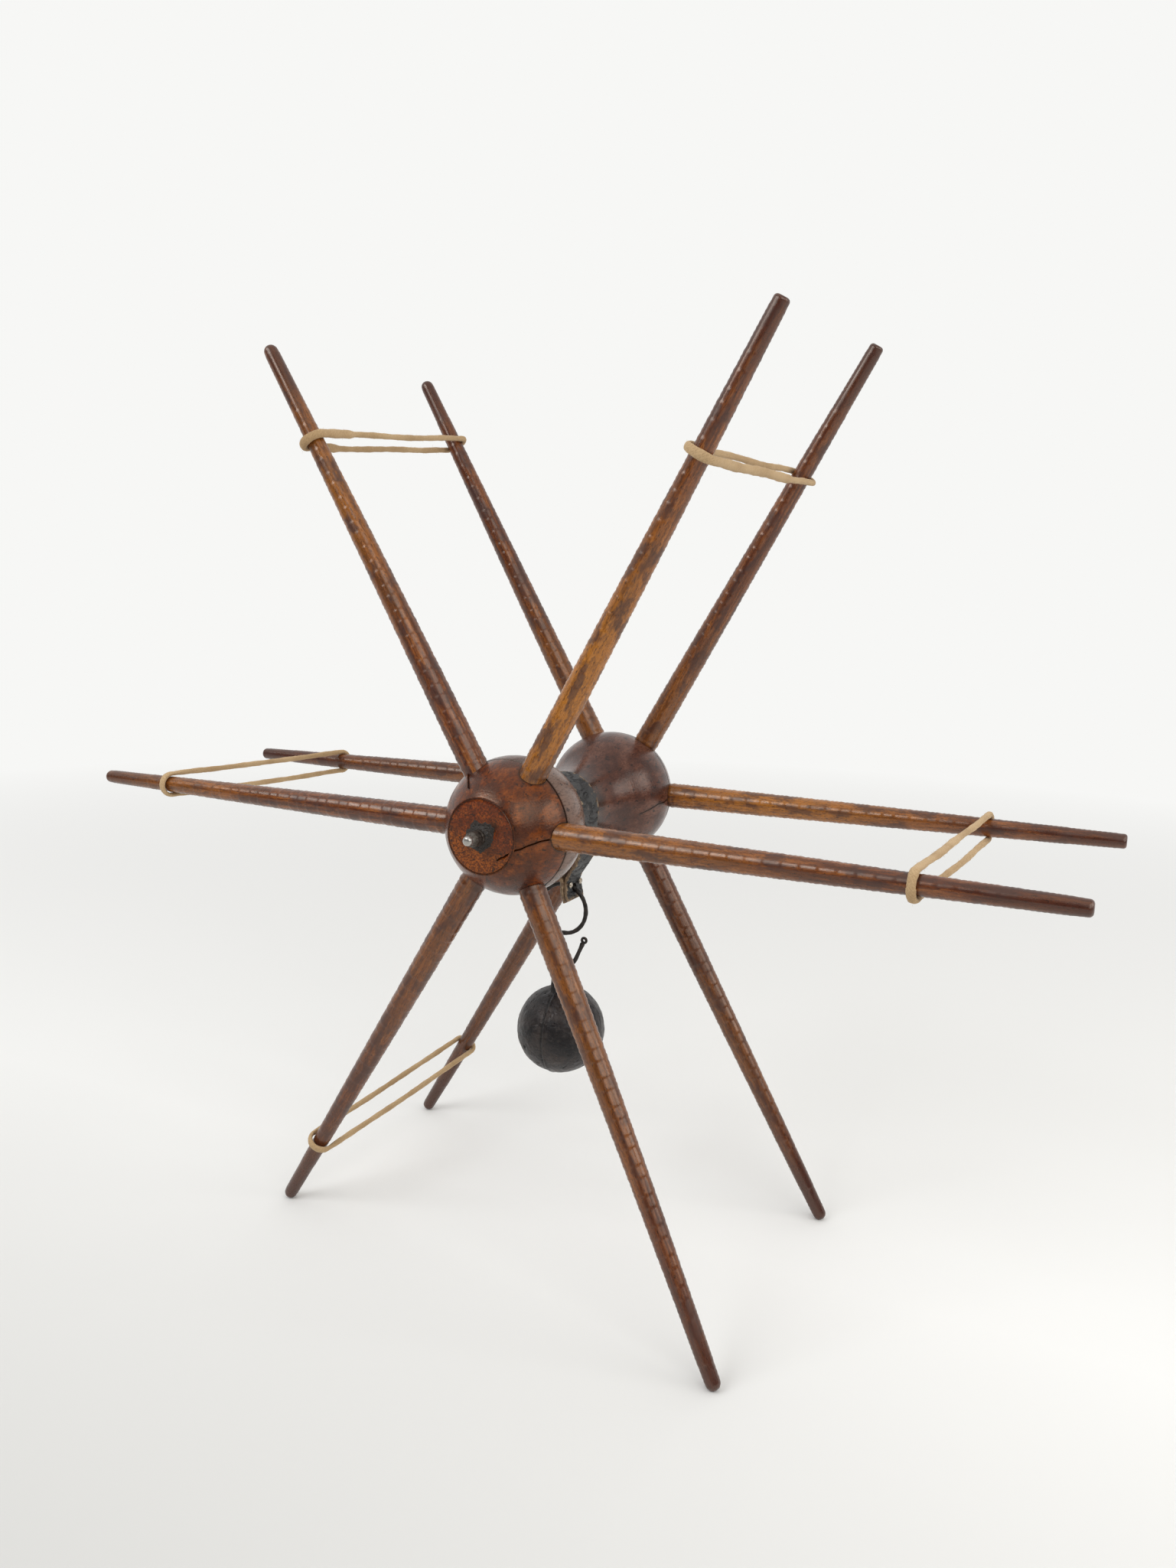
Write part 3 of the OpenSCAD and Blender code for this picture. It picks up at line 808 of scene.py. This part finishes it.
def make_hub(material):
    bore = 3.6 * MM
    chamfer = 0.42 * MM
    deep = 42 * MM
    joint_r = JOINT_R - 0.1 * MM
    cutters = {side: socket_cutter(side) for side in SIDES}
    for side, sign in SIDES.items():
        arc = ball_arc(JOINT_Y + chamfer, DISC_Y - 0.7 * MM)
        outline = [(JOINT_Y + 0.02 * MM, bore), (JOINT_Y + 0.02 * MM, joint_r - 0.7 * MM)] + arc + [
            (DISC_Y - 0.30 * MM, 19.6 * MM), (DISC_Y - 0.12 * MM, 19.1 * MM),
            (DISC_Y - 0.60 * MM, 18.75 * MM), (DISC_Y - 0.12 * MM, 18.3 * MM),
            (DISC_Y - 0.02 * MM, 17.8 * MM), (DISC_Y - 0.06 * MM, 12 * MM),
            (DISC_Y - 0.02 * MM, bore + 0.5 * MM), (DISC_Y - 0.4 * MM, bore)]
        outline = spread(outline, 0.9 * MM)
        cap = lathe(f"{side}_cap_turned", [(sign * y, r) for y, r in outline])
        cap.data.materials.append(material)
        dent_hub(cap)
        cut(cap, cutters[side])
        split(cap, CAP_CRACKS if side == "front" else [])
        finish_piece(cap, "root", "hub_wood", f"{side}_cap")
    half = {}
    for side, sign in SIDES.items():
        line = [(0, WAIST_R - 0.02 * MM)] + cove_line(COVE_STARTS[side])
        line += ball_arc(line[-1][0] + 0.5 * MM, JOINT_Y - chamfer)
        line += [(JOINT_Y - 0.02 * MM, joint_r - 0.7 * MM), (JOINT_Y - 0.02 * MM, bore),
                 (deep, bore), (deep, 0)]
        half[side] = [(sign * y, r) for y, r in spread(line[:-1], 0.9 * MM) + [line[-1]]]
    outline = half["front"][:0:-1] + half["rear"]
    hub = lathe("hub_core_turned", outline, closed=False)
    hub.data.materials.append(material)
    dent_hub(hub)
    cut(hub, cutters["front"], cutters["rear"])
    discard(*cutters.values())
    split(hub, CORE_CRACKS)
    finish_piece(hub, "root", "hub_wood", "hub_core")


# ---------- spindles ----------

def make_spindle(side, steel):
    sign = SIDES[side]
    outline = [(42.1, 0), (42.1, 3.2), (42.4, 3.48), (86.9, 3.48), (87.0, 3.9), (87.4, 4.0),
               (90.2, 4.0), (90.5, 3.75), (91.0, 3.75), (91.3, 3.95), (94.6, 3.9), (95.2, 3.75),
               (96.0, 2.9), (96.4, 2.5), (98.6, 2.48), (99.2, 2.25), (99.7, 1.7), (99.95, 0.9),
               (100.0, 0)]
    end = SPINDLE_END / MM
    outline = [(sign * (y + end - 100) * MM, r * MM) for y, r in outline]
    obj = lathe(f"{side}_spindle_turned", [outline[0]] + spread(outline[1:-1], 0.7 * MM)
                + [outline[-1]], steel, closed=False, sides=64)
    p = points_of(obj)
    rel = p - AXIS
    rough = noise_at(p, 500, 3)
    barrel = smoothstep(SPINDLE_END - abs(rel[:, 1]), 3.5 * MM, 6 * MM)
    inward = rel * (1, 0, 1)
    move_points(obj, p - inward * (0.05 * rough.clip(0) * barrel)[:, None])
    paint(obj, grain=p[:, [0, 2, 1]],
          bright=smoothstep(abs(rel[:, 1]), SPINDLE_END - 3.6 * MM, SPINDLE_END - 2.6 * MM))
    shade(obj, 45)
    finish_piece(obj, "root", "spindle_steel", f"{side}_spindle")


def make_grease(side, material, smear):
    """Dried grease caked round the spindle on the disc; smear is the way it was wiped."""
    sign = SIDES[side]
    turn = full_turn(2)
    circle = np.stack([np.cos(turn), np.sin(turn), turn * 0], 1) * 6 * MM
    wander = noise_at(circle, 110, 2, sign * 4.0)
    ragged = noise_at(circle, 420, 3, sign * 9.0)
    off = np.angle(np.exp(1j * (turn - smear)))
    reach = 7.9 + 1.4 * wander + 1.3 * ragged + 2.2 * bell(off, 0.42)
    rows = []
    for share, low in [(0.0, True)] + [(s, False) for s in np.linspace(0, 1, 22)] + [(1.0, True)]:
        r = (3.95 + (reach - 3.95) * share) * MM
        at = np.stack([r * np.cos(turn), np.zeros(len(turn)), r * np.sin(turn)], 1)
        lumps = noise_at(at, 620, 2, sign * 2.0) + 0.6 * noise_at(at, 1700, 2, sign * 5.0)
        height = (1.3 * (1 - share) ** 2.6 + 0.20 + 0.42 * lumps) * (1 - share ** 5)
        height = np.where(low, -0.12, np.maximum(height, 0.02)) * MM
        at[:, 1] = sign * (DISC_Y + height)
        rows.append(AXIS + at)
    obj = grid_piece(f"{side}_grease", np.array(rows), material, wrap_rows=True)
    p = points_of(obj)
    paint(obj, grain=p[:, [0, 2, 1]])
    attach(obj, "root")


# ---------- cord loops ----------

# Per loop: width of the thick stretch round the front spoke in mm, how far it runs back
# along each side of the loop in mm, and how flat it lies.
LOOP_LOOKS = {1: (4.7, 24, 24, 0.72), 2: (4.5, 26, 96, 0.62), 3: (4.3, 66, 22, 0.60),
              5: (4.3, 3, 3, 0.55), 6: (3.9, 6, 6, 0.65)}
CORD_D = 3.1


class Loop:
    """Where a cord loop lies, read from its solid and from the two spokes it ties."""

    def __init__(self, number):
        self.front, self.rear = SPOKES[f"front_spoke_{number}"], SPOKES[f"rear_spoke_{number}"]
        points = node_points(f"cord_loop_{number}")
        self.a = self.wrap_centre(points, self.front)
        self.b = self.wrap_centre(points, self.rear)
        self.x = unit(self.b - self.a)
        self.y = unit(np.cross(self.front.axis + self.rear.axis, self.x))
        self.z = np.cross(self.x, self.y)
        self.span = np.linalg.norm(self.b - self.a)
        rear = points[(points - self.a) @ self.x > 0.95 * self.span] - self.a
        self.wrap_r = abs(rear @ self.y).max() - abs(rear @ self.z).max()

    @staticmethod
    def wrap_centre(points, spoke):
        """The place on the spoke's axis where the cord passes outside it."""
        rel = points - spoke.start
        t = rel @ spoke.axis
        outside = np.sign(spoke.start[1]) * (rel - np.outer(t, spoke.axis)) @ Y > 1 * MM
        return spoke.point(t[outside].mean())


def loop_line(loop, step):
    """Centre line once round the loop: from the front wrap to the rear one and back."""
    r, span = loop.wrap_r, loop.span
    total = 2 * math.pi * r + 2 * span
    s = np.arange(0, total, total / round(total / step))
    quarter = math.pi * r / 2
    starts = (quarter, quarter + span, 3 * quarter + span, 3 * quarter + 2 * span)
    parts = [s < start for start in starts]
    front, rear, last = s / r, (s - quarter - span) / r, (s - total) / r
    x = np.select(parts, [-r * np.cos(front), s - quarter, span + r * np.sin(rear),
                          span - (s - 3 * quarter - span)], -r * np.cos(last))
    y = np.select(parts, [r * np.sin(front), r, r * np.cos(rear), -r], r * np.sin(last))
    return s, x, y, total, quarter


def make_loop(number, material):
    loop = Loop(number)
    width, run_a, run_b, flatness = LOOP_LOOKS[number]
    s, x, y, total, quarter = loop_line(loop, 0.36 * MM)
    back = np.minimum(s, total - s)
    run = np.where(s < total / 2, run_a, run_b) * MM + quarter
    thick = 1 - smoothstep(back, run - 3 * MM, run + 4 * MM)
    size = CORD_D + (width - CORD_D) * thick
    phase = number * 1.7
    free = smoothstep(x, 8 * MM, 30 * MM) * smoothstep(loop.span - x, 8 * MM, 30 * MM)
    wander = 0.35 * MM * free * np.sin(s / total * 22 + phase)
    centre = (loop.a + np.outer(x, loop.x) + np.outer(y, loop.y) + np.outer(wander, loop.z)
              - np.outer(0.5 * MM * free * np.sin(math.pi * x / loop.span), Z))
    run_dir = unit_rows(np.roll(centre, -1, 0) - np.roll(centre, 1, 0))
    out = unit_rows(np.cross(run_dir, loop.z))
    side = np.cross(out, run_dir)
    turn = np.linspace(0, 2 * math.pi, 28, endpoint=False)
    bundles, lay = 5, 2 * math.pi / (9.5 * MM)
    one = bundles * (turn[None] + lay * s[:, None])
    two = bundles * (turn[None] - lay * s[:, None])
    over = (np.floor(one / math.pi) + np.floor(two / math.pi)) % 2 < 1
    ridge = np.where(over, abs(np.sin(one)), abs(np.sin(two)))
    swell = 1 + 0.05 * np.sin(s / total * 61 + phase) + 0.04 * np.sin(s / total * 173 + 2 * phase)
    flat = 1 - (1 - flatness) * thick
    half_out = size * flat * swell * MM / 2
    half_side = size * swell * MM / 2
    rise = (ridge - 0.6) * 0.16 * MM
    place = (centre[:, None]
             + out[:, None] * ((half_out[:, None] + rise) * np.cos(turn))[..., None]
             + side[:, None] * ((half_side[:, None] + rise) * np.sin(turn))[..., None])
    lumps = noise_at(place.reshape(-1, 3), 700, 2, phase).reshape(ridge.shape)
    radial = np.cos(turn)[None, :, None] * out[:, None] + np.sin(turn)[None, :, None] * side[:, None]
    place = place + radial * (0.10 * MM * lumps)[..., None]
    obj = grid_piece(f"cord_loop_{number}_braid", place, material, wrap_rows=True)
    groove = 1 - smoothstep(ridge, 0.1, 0.7)
    fibres, faces = make_fuzz(number, centre, out, side, half_side, groove.size)
    add_geometry(obj, fibres, faces)
    paint(obj, grain=points_of(obj), groove=np.append(groove, np.zeros(len(fibres))))
    shade(obj, 80)
    finish_piece(obj, f"loop_{number}", "cord_cotton", f"cord_loop_{number}")


FIBRE_FACES = grid_faces(3, 3, False) + [[2, 1, 0], [6, 7, 8]]


def make_fuzz(number, centre, out, side, radius, first):
    """Short loose fibres that stand off the braid, each three rings of three points."""
    rng = np.random.default_rng(100 + number)
    thin = 0.045 * MM
    points, faces = [], []
    for _ in range(240):
        k = rng.integers(len(centre))
        angle = rng.uniform(0, 2 * math.pi)
        away = out[k] * math.cos(angle) + side[k] * math.sin(angle)
        along = unit(np.cross(away, side[k] + 0.3 * out[k]))
        start = centre[k] + away * radius[k] * 0.80
        length = rng.uniform(0.5, 1.5) * MM
        lean = unit(away + along * rng.uniform(-1.2, 1.2) + rng.normal(0, 0.3, 3))
        bend = rng.normal(0, 0.35, 3)
        a = unit(np.cross(lean, X + Y))
        b = np.cross(lean, a)
        base = first + len(points)
        for part in (0, 0.5, 1):
            at = start + (lean * part + bend * part ** 2 * 0.6) * length
            w = thin * (1 - 0.6 * part)
            points += [at + w * (a * math.cos(2.1 * c) + b * math.sin(2.1 * c)) for c in range(3)]
        faces += [[base + corner for corner in face] for face in FIBRE_FACES]
    return points, faces


def add_geometry(obj, points, faces):
    """Adds points and faces after those that the piece has."""
    mesh = obj.data
    old = [list(p.vertices) for p in mesh.polygons]
    fresh = bpy.data.meshes.new(mesh.name)
    fresh.from_pydata(np.vstack([points_of(obj), points]).tolist(), [], old + faces)
    fresh.materials.append(mesh.materials[0])
    obj.data = fresh
    bpy.data.meshes.remove(mesh)


# ---------- brake strap ----------

# The two ends of the strap in X and Z, in mm from the axle; between them it rides the waist.
LEFT_LEG = [(8.0, -50), (6.9, -43), (6.5, -37.5), (1.5, -34.5), (-5.5, -31.5), (-14, -22.5)]
RIGHT_LEG = [(16.2, -24), (12.4, -31), (8.9, -37.5), (9.2, -43), (10.6, -48.6)]
STRAP_T = 2.0 * MM
STRAP_W = 18 * MM


def smooth_line(keys, step):
    """A smooth line through the keys, with points `step` apart."""
    keys = np.asarray(keys, float)
    ends = np.vstack([2 * keys[0] - keys[1], keys, 2 * keys[-1] - keys[-2]])
    line = []
    for p0, p1, p2, p3 in zip(ends, ends[1:], ends[2:], ends[3:]):
        t = np.linspace(0, 1, 24, endpoint=False)[:, None]
        line.append(0.5 * (2 * p1 + (p2 - p0) * t + (2 * p0 - 5 * p1 + 4 * p2 - p3) * t ** 2
                           + (3 * p1 - p0 - 3 * p2 + p3) * t ** 3))
    line = np.vstack([*line, keys[-1:]])
    run = np.concatenate([[0], np.cumsum(np.linalg.norm(np.diff(line, axis=0), axis=1))])
    s = np.linspace(0, run[-1], int(run[-1] / step))
    return s, np.stack([np.interp(s, run, line[:, k]) for k in range(keys.shape[1])], 1)


def make_strap(material):
    mid_r = WAIST_R / MM + 0.12 + STRAP_T / MM / 2
    over = [(mid_r * math.cos(a), mid_r * math.sin(a)) for a in np.radians(np.arange(188, -9, -7))]
    s, line = smooth_line(np.array(LEFT_LEG + over + RIGHT_LEG) * MM, 0.45 * MM)
    run = unit_rows(np.gradient(line, axis=0))
    normal = np.stack([-run[:, 1], run[:, 0]], 1)
    total = s[-1]
    end = np.minimum(s, total - s)
    flare = 1 - 0.10 * bell(total - s - 12 * MM, 7 * MM) + 0.04 * bell(total - s, 5 * MM)
    edges = []
    for y, shift, narrow in ((0, 0.0, 0.12), (1, 9.0, 0.05)):
        ragged = noise_at(np.stack([s, s * 0 + y, s * 0], 1), 160, 3, shift)
        edges.append(STRAP_W / 2 * flare * (1 - 0.05 * abs(ragged)) * (1 - narrow * bell(end, 3 * MM)))
    left, right = -edges[0][:, None], edges[1][:, None]
    top = np.linspace(-1, 1, 40)
    edge = np.radians([60, 30, 0, -30, -60])
    across = np.concatenate([top, 1 + 0 * edge, -top, -1 - 0 * edge])
    lift = np.concatenate([1 + 0 * top, np.sin(edge), -1 + 0 * top, -np.sin(edge)])
    bulge = np.concatenate([0 * top, 0.35 * np.cos(edge), 0 * top, -0.35 * np.cos(edge)]) * MM
    place_y = np.where(across > 0, right, left) * abs(across) + bulge
    uv = np.stack([np.repeat(s, len(across)), place_y.ravel(),
                   np.tile((lift > 0) * 0.1, len(s))], 1)

    def marks(stretch, per_metre, shift):
        """Noise over the leather, drawn out across it where stretch is under 1."""
        return noise_at(uv * (1, stretch, 1), per_metre, 2, shift).reshape(place_y.shape)

    fine = marks(0.8, 800, 8.0)
    crack = (1 - smoothstep(abs(marks(0.30, 230, 3.0)), 0.03, 0.13)) * smoothstep(fine, -0.6, 0.0)
    outer = np.concatenate([1 + 0 * top, 0.4 + 0 * edge, 0 * top, 0.4 + 0 * edge])
    worn = marks(1, 210, 6.0)
    chips = smoothstep(marks(0.4, 420, 12.0), 0.05, 0.2)
    half = STRAP_T / 2 * (1 - 0.30 * bell(end, 2 * MM)[:, None])
    height = lift * half - np.sign(lift) * outer * (0.65 * crack + 0.20 * abs(fine)) * MM
    height = height * (1 - 0.25 * (abs(across) > 0.96) * smoothstep(worn, 0, 0.5))
    place = np.empty((*place_y.shape, 3))
    place[..., 0] = line[:, None, 0] + normal[:, None, 0] * height
    on_waist = smoothstep(end, 25 * MM, 45 * MM)[:, None]
    place[..., 1] = STRAP_Y - 1.8 * MM * on_waist + place_y
    place[..., 2] = AXIS[2] + line[:, None, 1] + normal[:, None, 1] * height
    obj = closed_piece("brake_strap_leather", place, material)
    hole = rod_cutter("hook_hole", (9 * MM, STRAP_Y, AXIS[2] - 42.6 * MM), 2.6 * MM, 7 * MM, 12)
    raw = np.clip((abs(lift) < 0.9) * 1.0 + (lift < 0) * 0.8 + bell(end, 1.2 * MM)[:, None]
                  + chips * smoothstep(abs(across), 0.80, 0.94), 0, 1)
    extra = np.ones(2)
    paint(obj, grain=np.vstack([uv, uv[:2]]), raw=np.concatenate([raw.ravel(), extra]),
          groove=np.concatenate([(crack * (outer > 0.5)).ravel(), extra]))
    cut(obj, hole)
    discard(hole)
    shade(obj, 50)
    finish_piece(obj, "strap", "strap_leather", "brake_strap")


def rod_cutter(name, centre, radius, half_length, step):
    """A short rod along X, to cut a round hole with."""
    grid = np.array([[centre + X * x + radius * (Y * math.cos(a) + Z * math.sin(a))
                      for a in full_turn(step)] for x in (-half_length, half_length)])
    return closed_piece(name, grid)


def make_rivets(material):
    """Two nails through both plies: a domed head on one side, a clinched washer on the other."""
    low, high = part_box("strap_rivets")
    outline = [(0.0, 0.0), (0.02, 0.9), (0.25, 1.5), (0.55, 1.72), (0.8, 1.6), (1.0, 0.9),
               (3.0, 0.88), (5.6, 0.88), (5.7, 1.55), (6.0, 1.68), (6.35, 1.35), (6.6, 0.8), (6.7, 0.0)]
    scale = (high.x - low.x) / 6.7 / MM
    turn = full_turn(15)
    nails = []
    for y in (low.y + 1.7 * MM, high.y - 1.7 * MM):
        centre = np.array([low.x, y, (low.z + high.z) / 2])
        body = np.array([[centre + MM * (X * d * scale + r * (Y * math.cos(a) + Z * math.sin(a)))
                          for a in turn] for d, r in outline[1:-1]])
        ends = [centre, centre + X * outline[-1][0] * scale * MM]
        nails.append(grid_piece("rivet", body, ends=ends))
    obj = join("strap_rivets_domed", nails, material)
    paint(obj, grain=points_of(obj))
    shade(obj, 50)
    finish_piece(obj, "strap", "rivet_steel", "strap_rivets")


# ---------- drag hook and weight ----------

def swept_rod(name, line, radius):
    """A round rod along a line of points, with rounded ends."""
    run = unit_rows(np.gradient(line, axis=0))
    side = unit_rows(np.cross(run, Y))
    turn = np.linspace(0, 2 * math.pi, 18, endpoint=False)
    ring = (side[:, None] * np.cos(turn)[None, :, None] + Y * np.sin(turn)[None, :, None])
    grid = line[:, None] + ring * radius[:, None, None]
    return grid_piece(name, grid, ends=[line[0] - run[0] * radius[0] * 0.5,
                                        line[-1] + run[-1] * radius[-1] * 0.5])


def make_hook(material):
    hang_x, wire = 3.5, 1.2
    upper, lower = (-55.5, 14.0), (-79.0, 9.5)
    nose = math.radians(23)
    path = [(hang_x + upper[1] * math.cos(a), upper[0] + upper[1] * math.sin(a))
            for a in np.radians(np.arange(150, -91, -3))]
    path += [(hang_x + lower[1] * math.cos(a), lower[0] + lower[1] * math.sin(a))
             for a in np.radians(np.arange(94, 337.1, 3))]
    start = np.array(path[-1])
    way = np.array([math.sin(nose), math.cos(nose)])
    path += [tuple(start + way * d) for d in (2, 4, 6, 8, 9.6)]
    eye = start + way * 11.9
    line = np.array([[x, 0, z] for x, z in path]) * MM + AXIS + Y * STRAP_Y
    s = np.arange(len(line))
    thick = wire * (1 + 0.05 * np.sin(s * 0.41) + 0.04 * np.sin(s * 1.13 + 1))
    thick *= 1 - 0.35 * bell(s, 4)
    thick[-4:] *= (1.0, 1.05, 1.12, 1.2)
    rod = swept_rod("hook_rod", line, thick * MM)
    outline = [(-0.75, 0.85), (-0.78, 1.6), (-0.4, 2.1), (0.4, 2.1), (0.78, 1.6), (0.75, 0.85),
               (0.3, 0.72), (-0.3, 0.72)]
    turn = full_turn(12)
    centre = AXIS + Y * STRAP_Y + np.array([eye[0], 0, eye[1]]) * MM
    grid = np.array([[centre + MM * (Y * y + X * r * math.cos(a) + Z * r * math.sin(a))
                      for a in turn] for y, r in outline])
    ring = grid_piece("hook_eye", grid, wrap_rows=True)
    obj = merge("drag_hook_forged", [rod, ring], 0.24 * MM, material)
    p = points_of(obj)
    move_points(obj, p + points_of(obj, "normal") * (0.06 * MM * noise_at(p, 700, 2))[:, None])
    paint(obj, grain=p)
    finish_piece(obj, "hook", "hook_iron", "drag_hook")


def make_weight(material):
    low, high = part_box("drag_weight")
    radius = (high.x - low.x) / 2
    centre = np.array([(low.x + high.x) / 2, (low.y + high.y) / 2, 0])
    centre[2] = AXIS[2] - 125.3 * MM
    hole = np.array([centre[0], centre[1], AXIS[2] - 88.8 * MM])
    ball = sphere("iron_ball", centre, radius)
    lug = lug_plate("iron_lug", centre, hole, radius)
    nub = swept_rod("iron_nub", np.array([centre - Z * (radius - 1 * MM), centre - Z * radius]),
                    np.array([2.2, 1.7]) * MM)
    obj = merge("drag_weight_cast", [ball, lug, nub], 0.5 * MM, material)
    p = points_of(obj)
    n = points_of(obj, "normal")
    rel = (p - centre) / radius
    seam_normal = unit((1, 0.09, 0))
    off = rel @ seam_normal * radius
    on_ball = smoothstep(1.03 - np.linalg.norm(rel, axis=1), -0.02, 0.0)
    step = 0.18 * MM * np.sign(off) * smoothstep(abs(off), 0, 0.8 * MM)
    ridge = 0.40 * MM * bell(off, 0.55 * MM) - 0.30 * MM * bell(off + 1.1 * MM, 0.6 * MM)
    pit_way = unit((-0.46, -0.85, -0.27))
    pit_gap = np.linalg.norm(rel - pit_way, axis=1) * radius
    pit = -1.0 * MM * bell(pit_gap, 1.1 * MM)
    sand = 0.16 * MM * noise_at(p, 260, 3) + 0.22 * MM * noise_at(p, 70, 2, 3.0)
    craters = -0.35 * MM * smoothstep(noise_at(p, 330, 2, 7.0), 0.5, 0.8)
    move = on_ball * (ridge + step * 0.5 + pit) + sand + craters
    limit = radius + 0.30 * MM
    moved = n * (move - 0.12 * MM)[:, None] + p - centre
    far = np.linalg.norm(moved, axis=1)
    over = (on_ball > 0.5) & (far > limit)
    moved[over] *= (limit / far[over])[:, None]
    move_points(obj, centre + moved)
    groove = on_ball * (bell(off + 1.1 * MM, 0.7 * MM) + bell(pit_gap, 1.0 * MM)).clip(0, 1)
    paint(obj, grain=p, groove=groove)
    bore = rod_cutter("lug_hole", hole, 2.5 * MM, 8 * MM, 10)
    cut(obj, bore)
    discard(bore)
    shade(obj, 50)
    finish_piece(obj, "weight", "weight_iron", "drag_weight")


def sphere(name, centre, radius):
    polar = np.linspace(0, math.pi, 62)[1:-1]
    turn = np.linspace(0, 2 * math.pi, 96, endpoint=False)
    grid = np.array([[centre + radius * (Z * math.cos(a) + math.sin(a)
                      * (X * math.cos(b) + Y * math.sin(b))) for b in turn] for a in polar])
    return grid_piece(name, grid, ends=[centre + Z * radius, centre - Z * radius])


def lug_plate(name, centre, hole, radius):
    """A plate that tapers up from the ball to a round eye, with softened edges."""
    top_r, half_base = 6.8 * MM, 9.8 * MM
    base = centre[2] + radius - 3 * MM - hole[2]
    outline = [(top_r * math.cos(a), top_r * math.sin(a)) for a in np.radians(np.arange(0, 181, 12))]
    outline += [(-half_base * 0.86, base * 0.6), (-half_base, base), (half_base, base),
                (half_base * 0.86, base * 0.6)]
    rows = []
    for x, shrink in ((-2.9, 0.86), (-2.5, 0.96), (0, 1.0), (2.5, 0.96), (2.9, 0.86)):
        rows.append([hole + X * x * MM + Y * y * shrink + Z * (z if z < 0 else z * shrink)
                     for y, z in outline])
    return closed_piece(name, np.array(rows))


# ---------- put together ----------

make_camera()
make_floor()
make_lights()
spoke_finish = spoke_wood()
for place, spoke_name in enumerate(SPOKES):
    make_spoke(spoke_name, place, spoke_finish)
make_hub(hub_wood())
steel, grease = spindle_steel(), old_grease()
for end in SIDES:
    make_spindle(end, steel)
    make_grease(end, grease, math.radians(42))
cotton_finish = cotton()
for loop_number in LOOP_LOOKS:
    make_loop(loop_number, cotton_finish)
make_strap(leather())
make_rivets(rivet_steel())
make_hook(forged_iron())
make_weight(cast_iron())
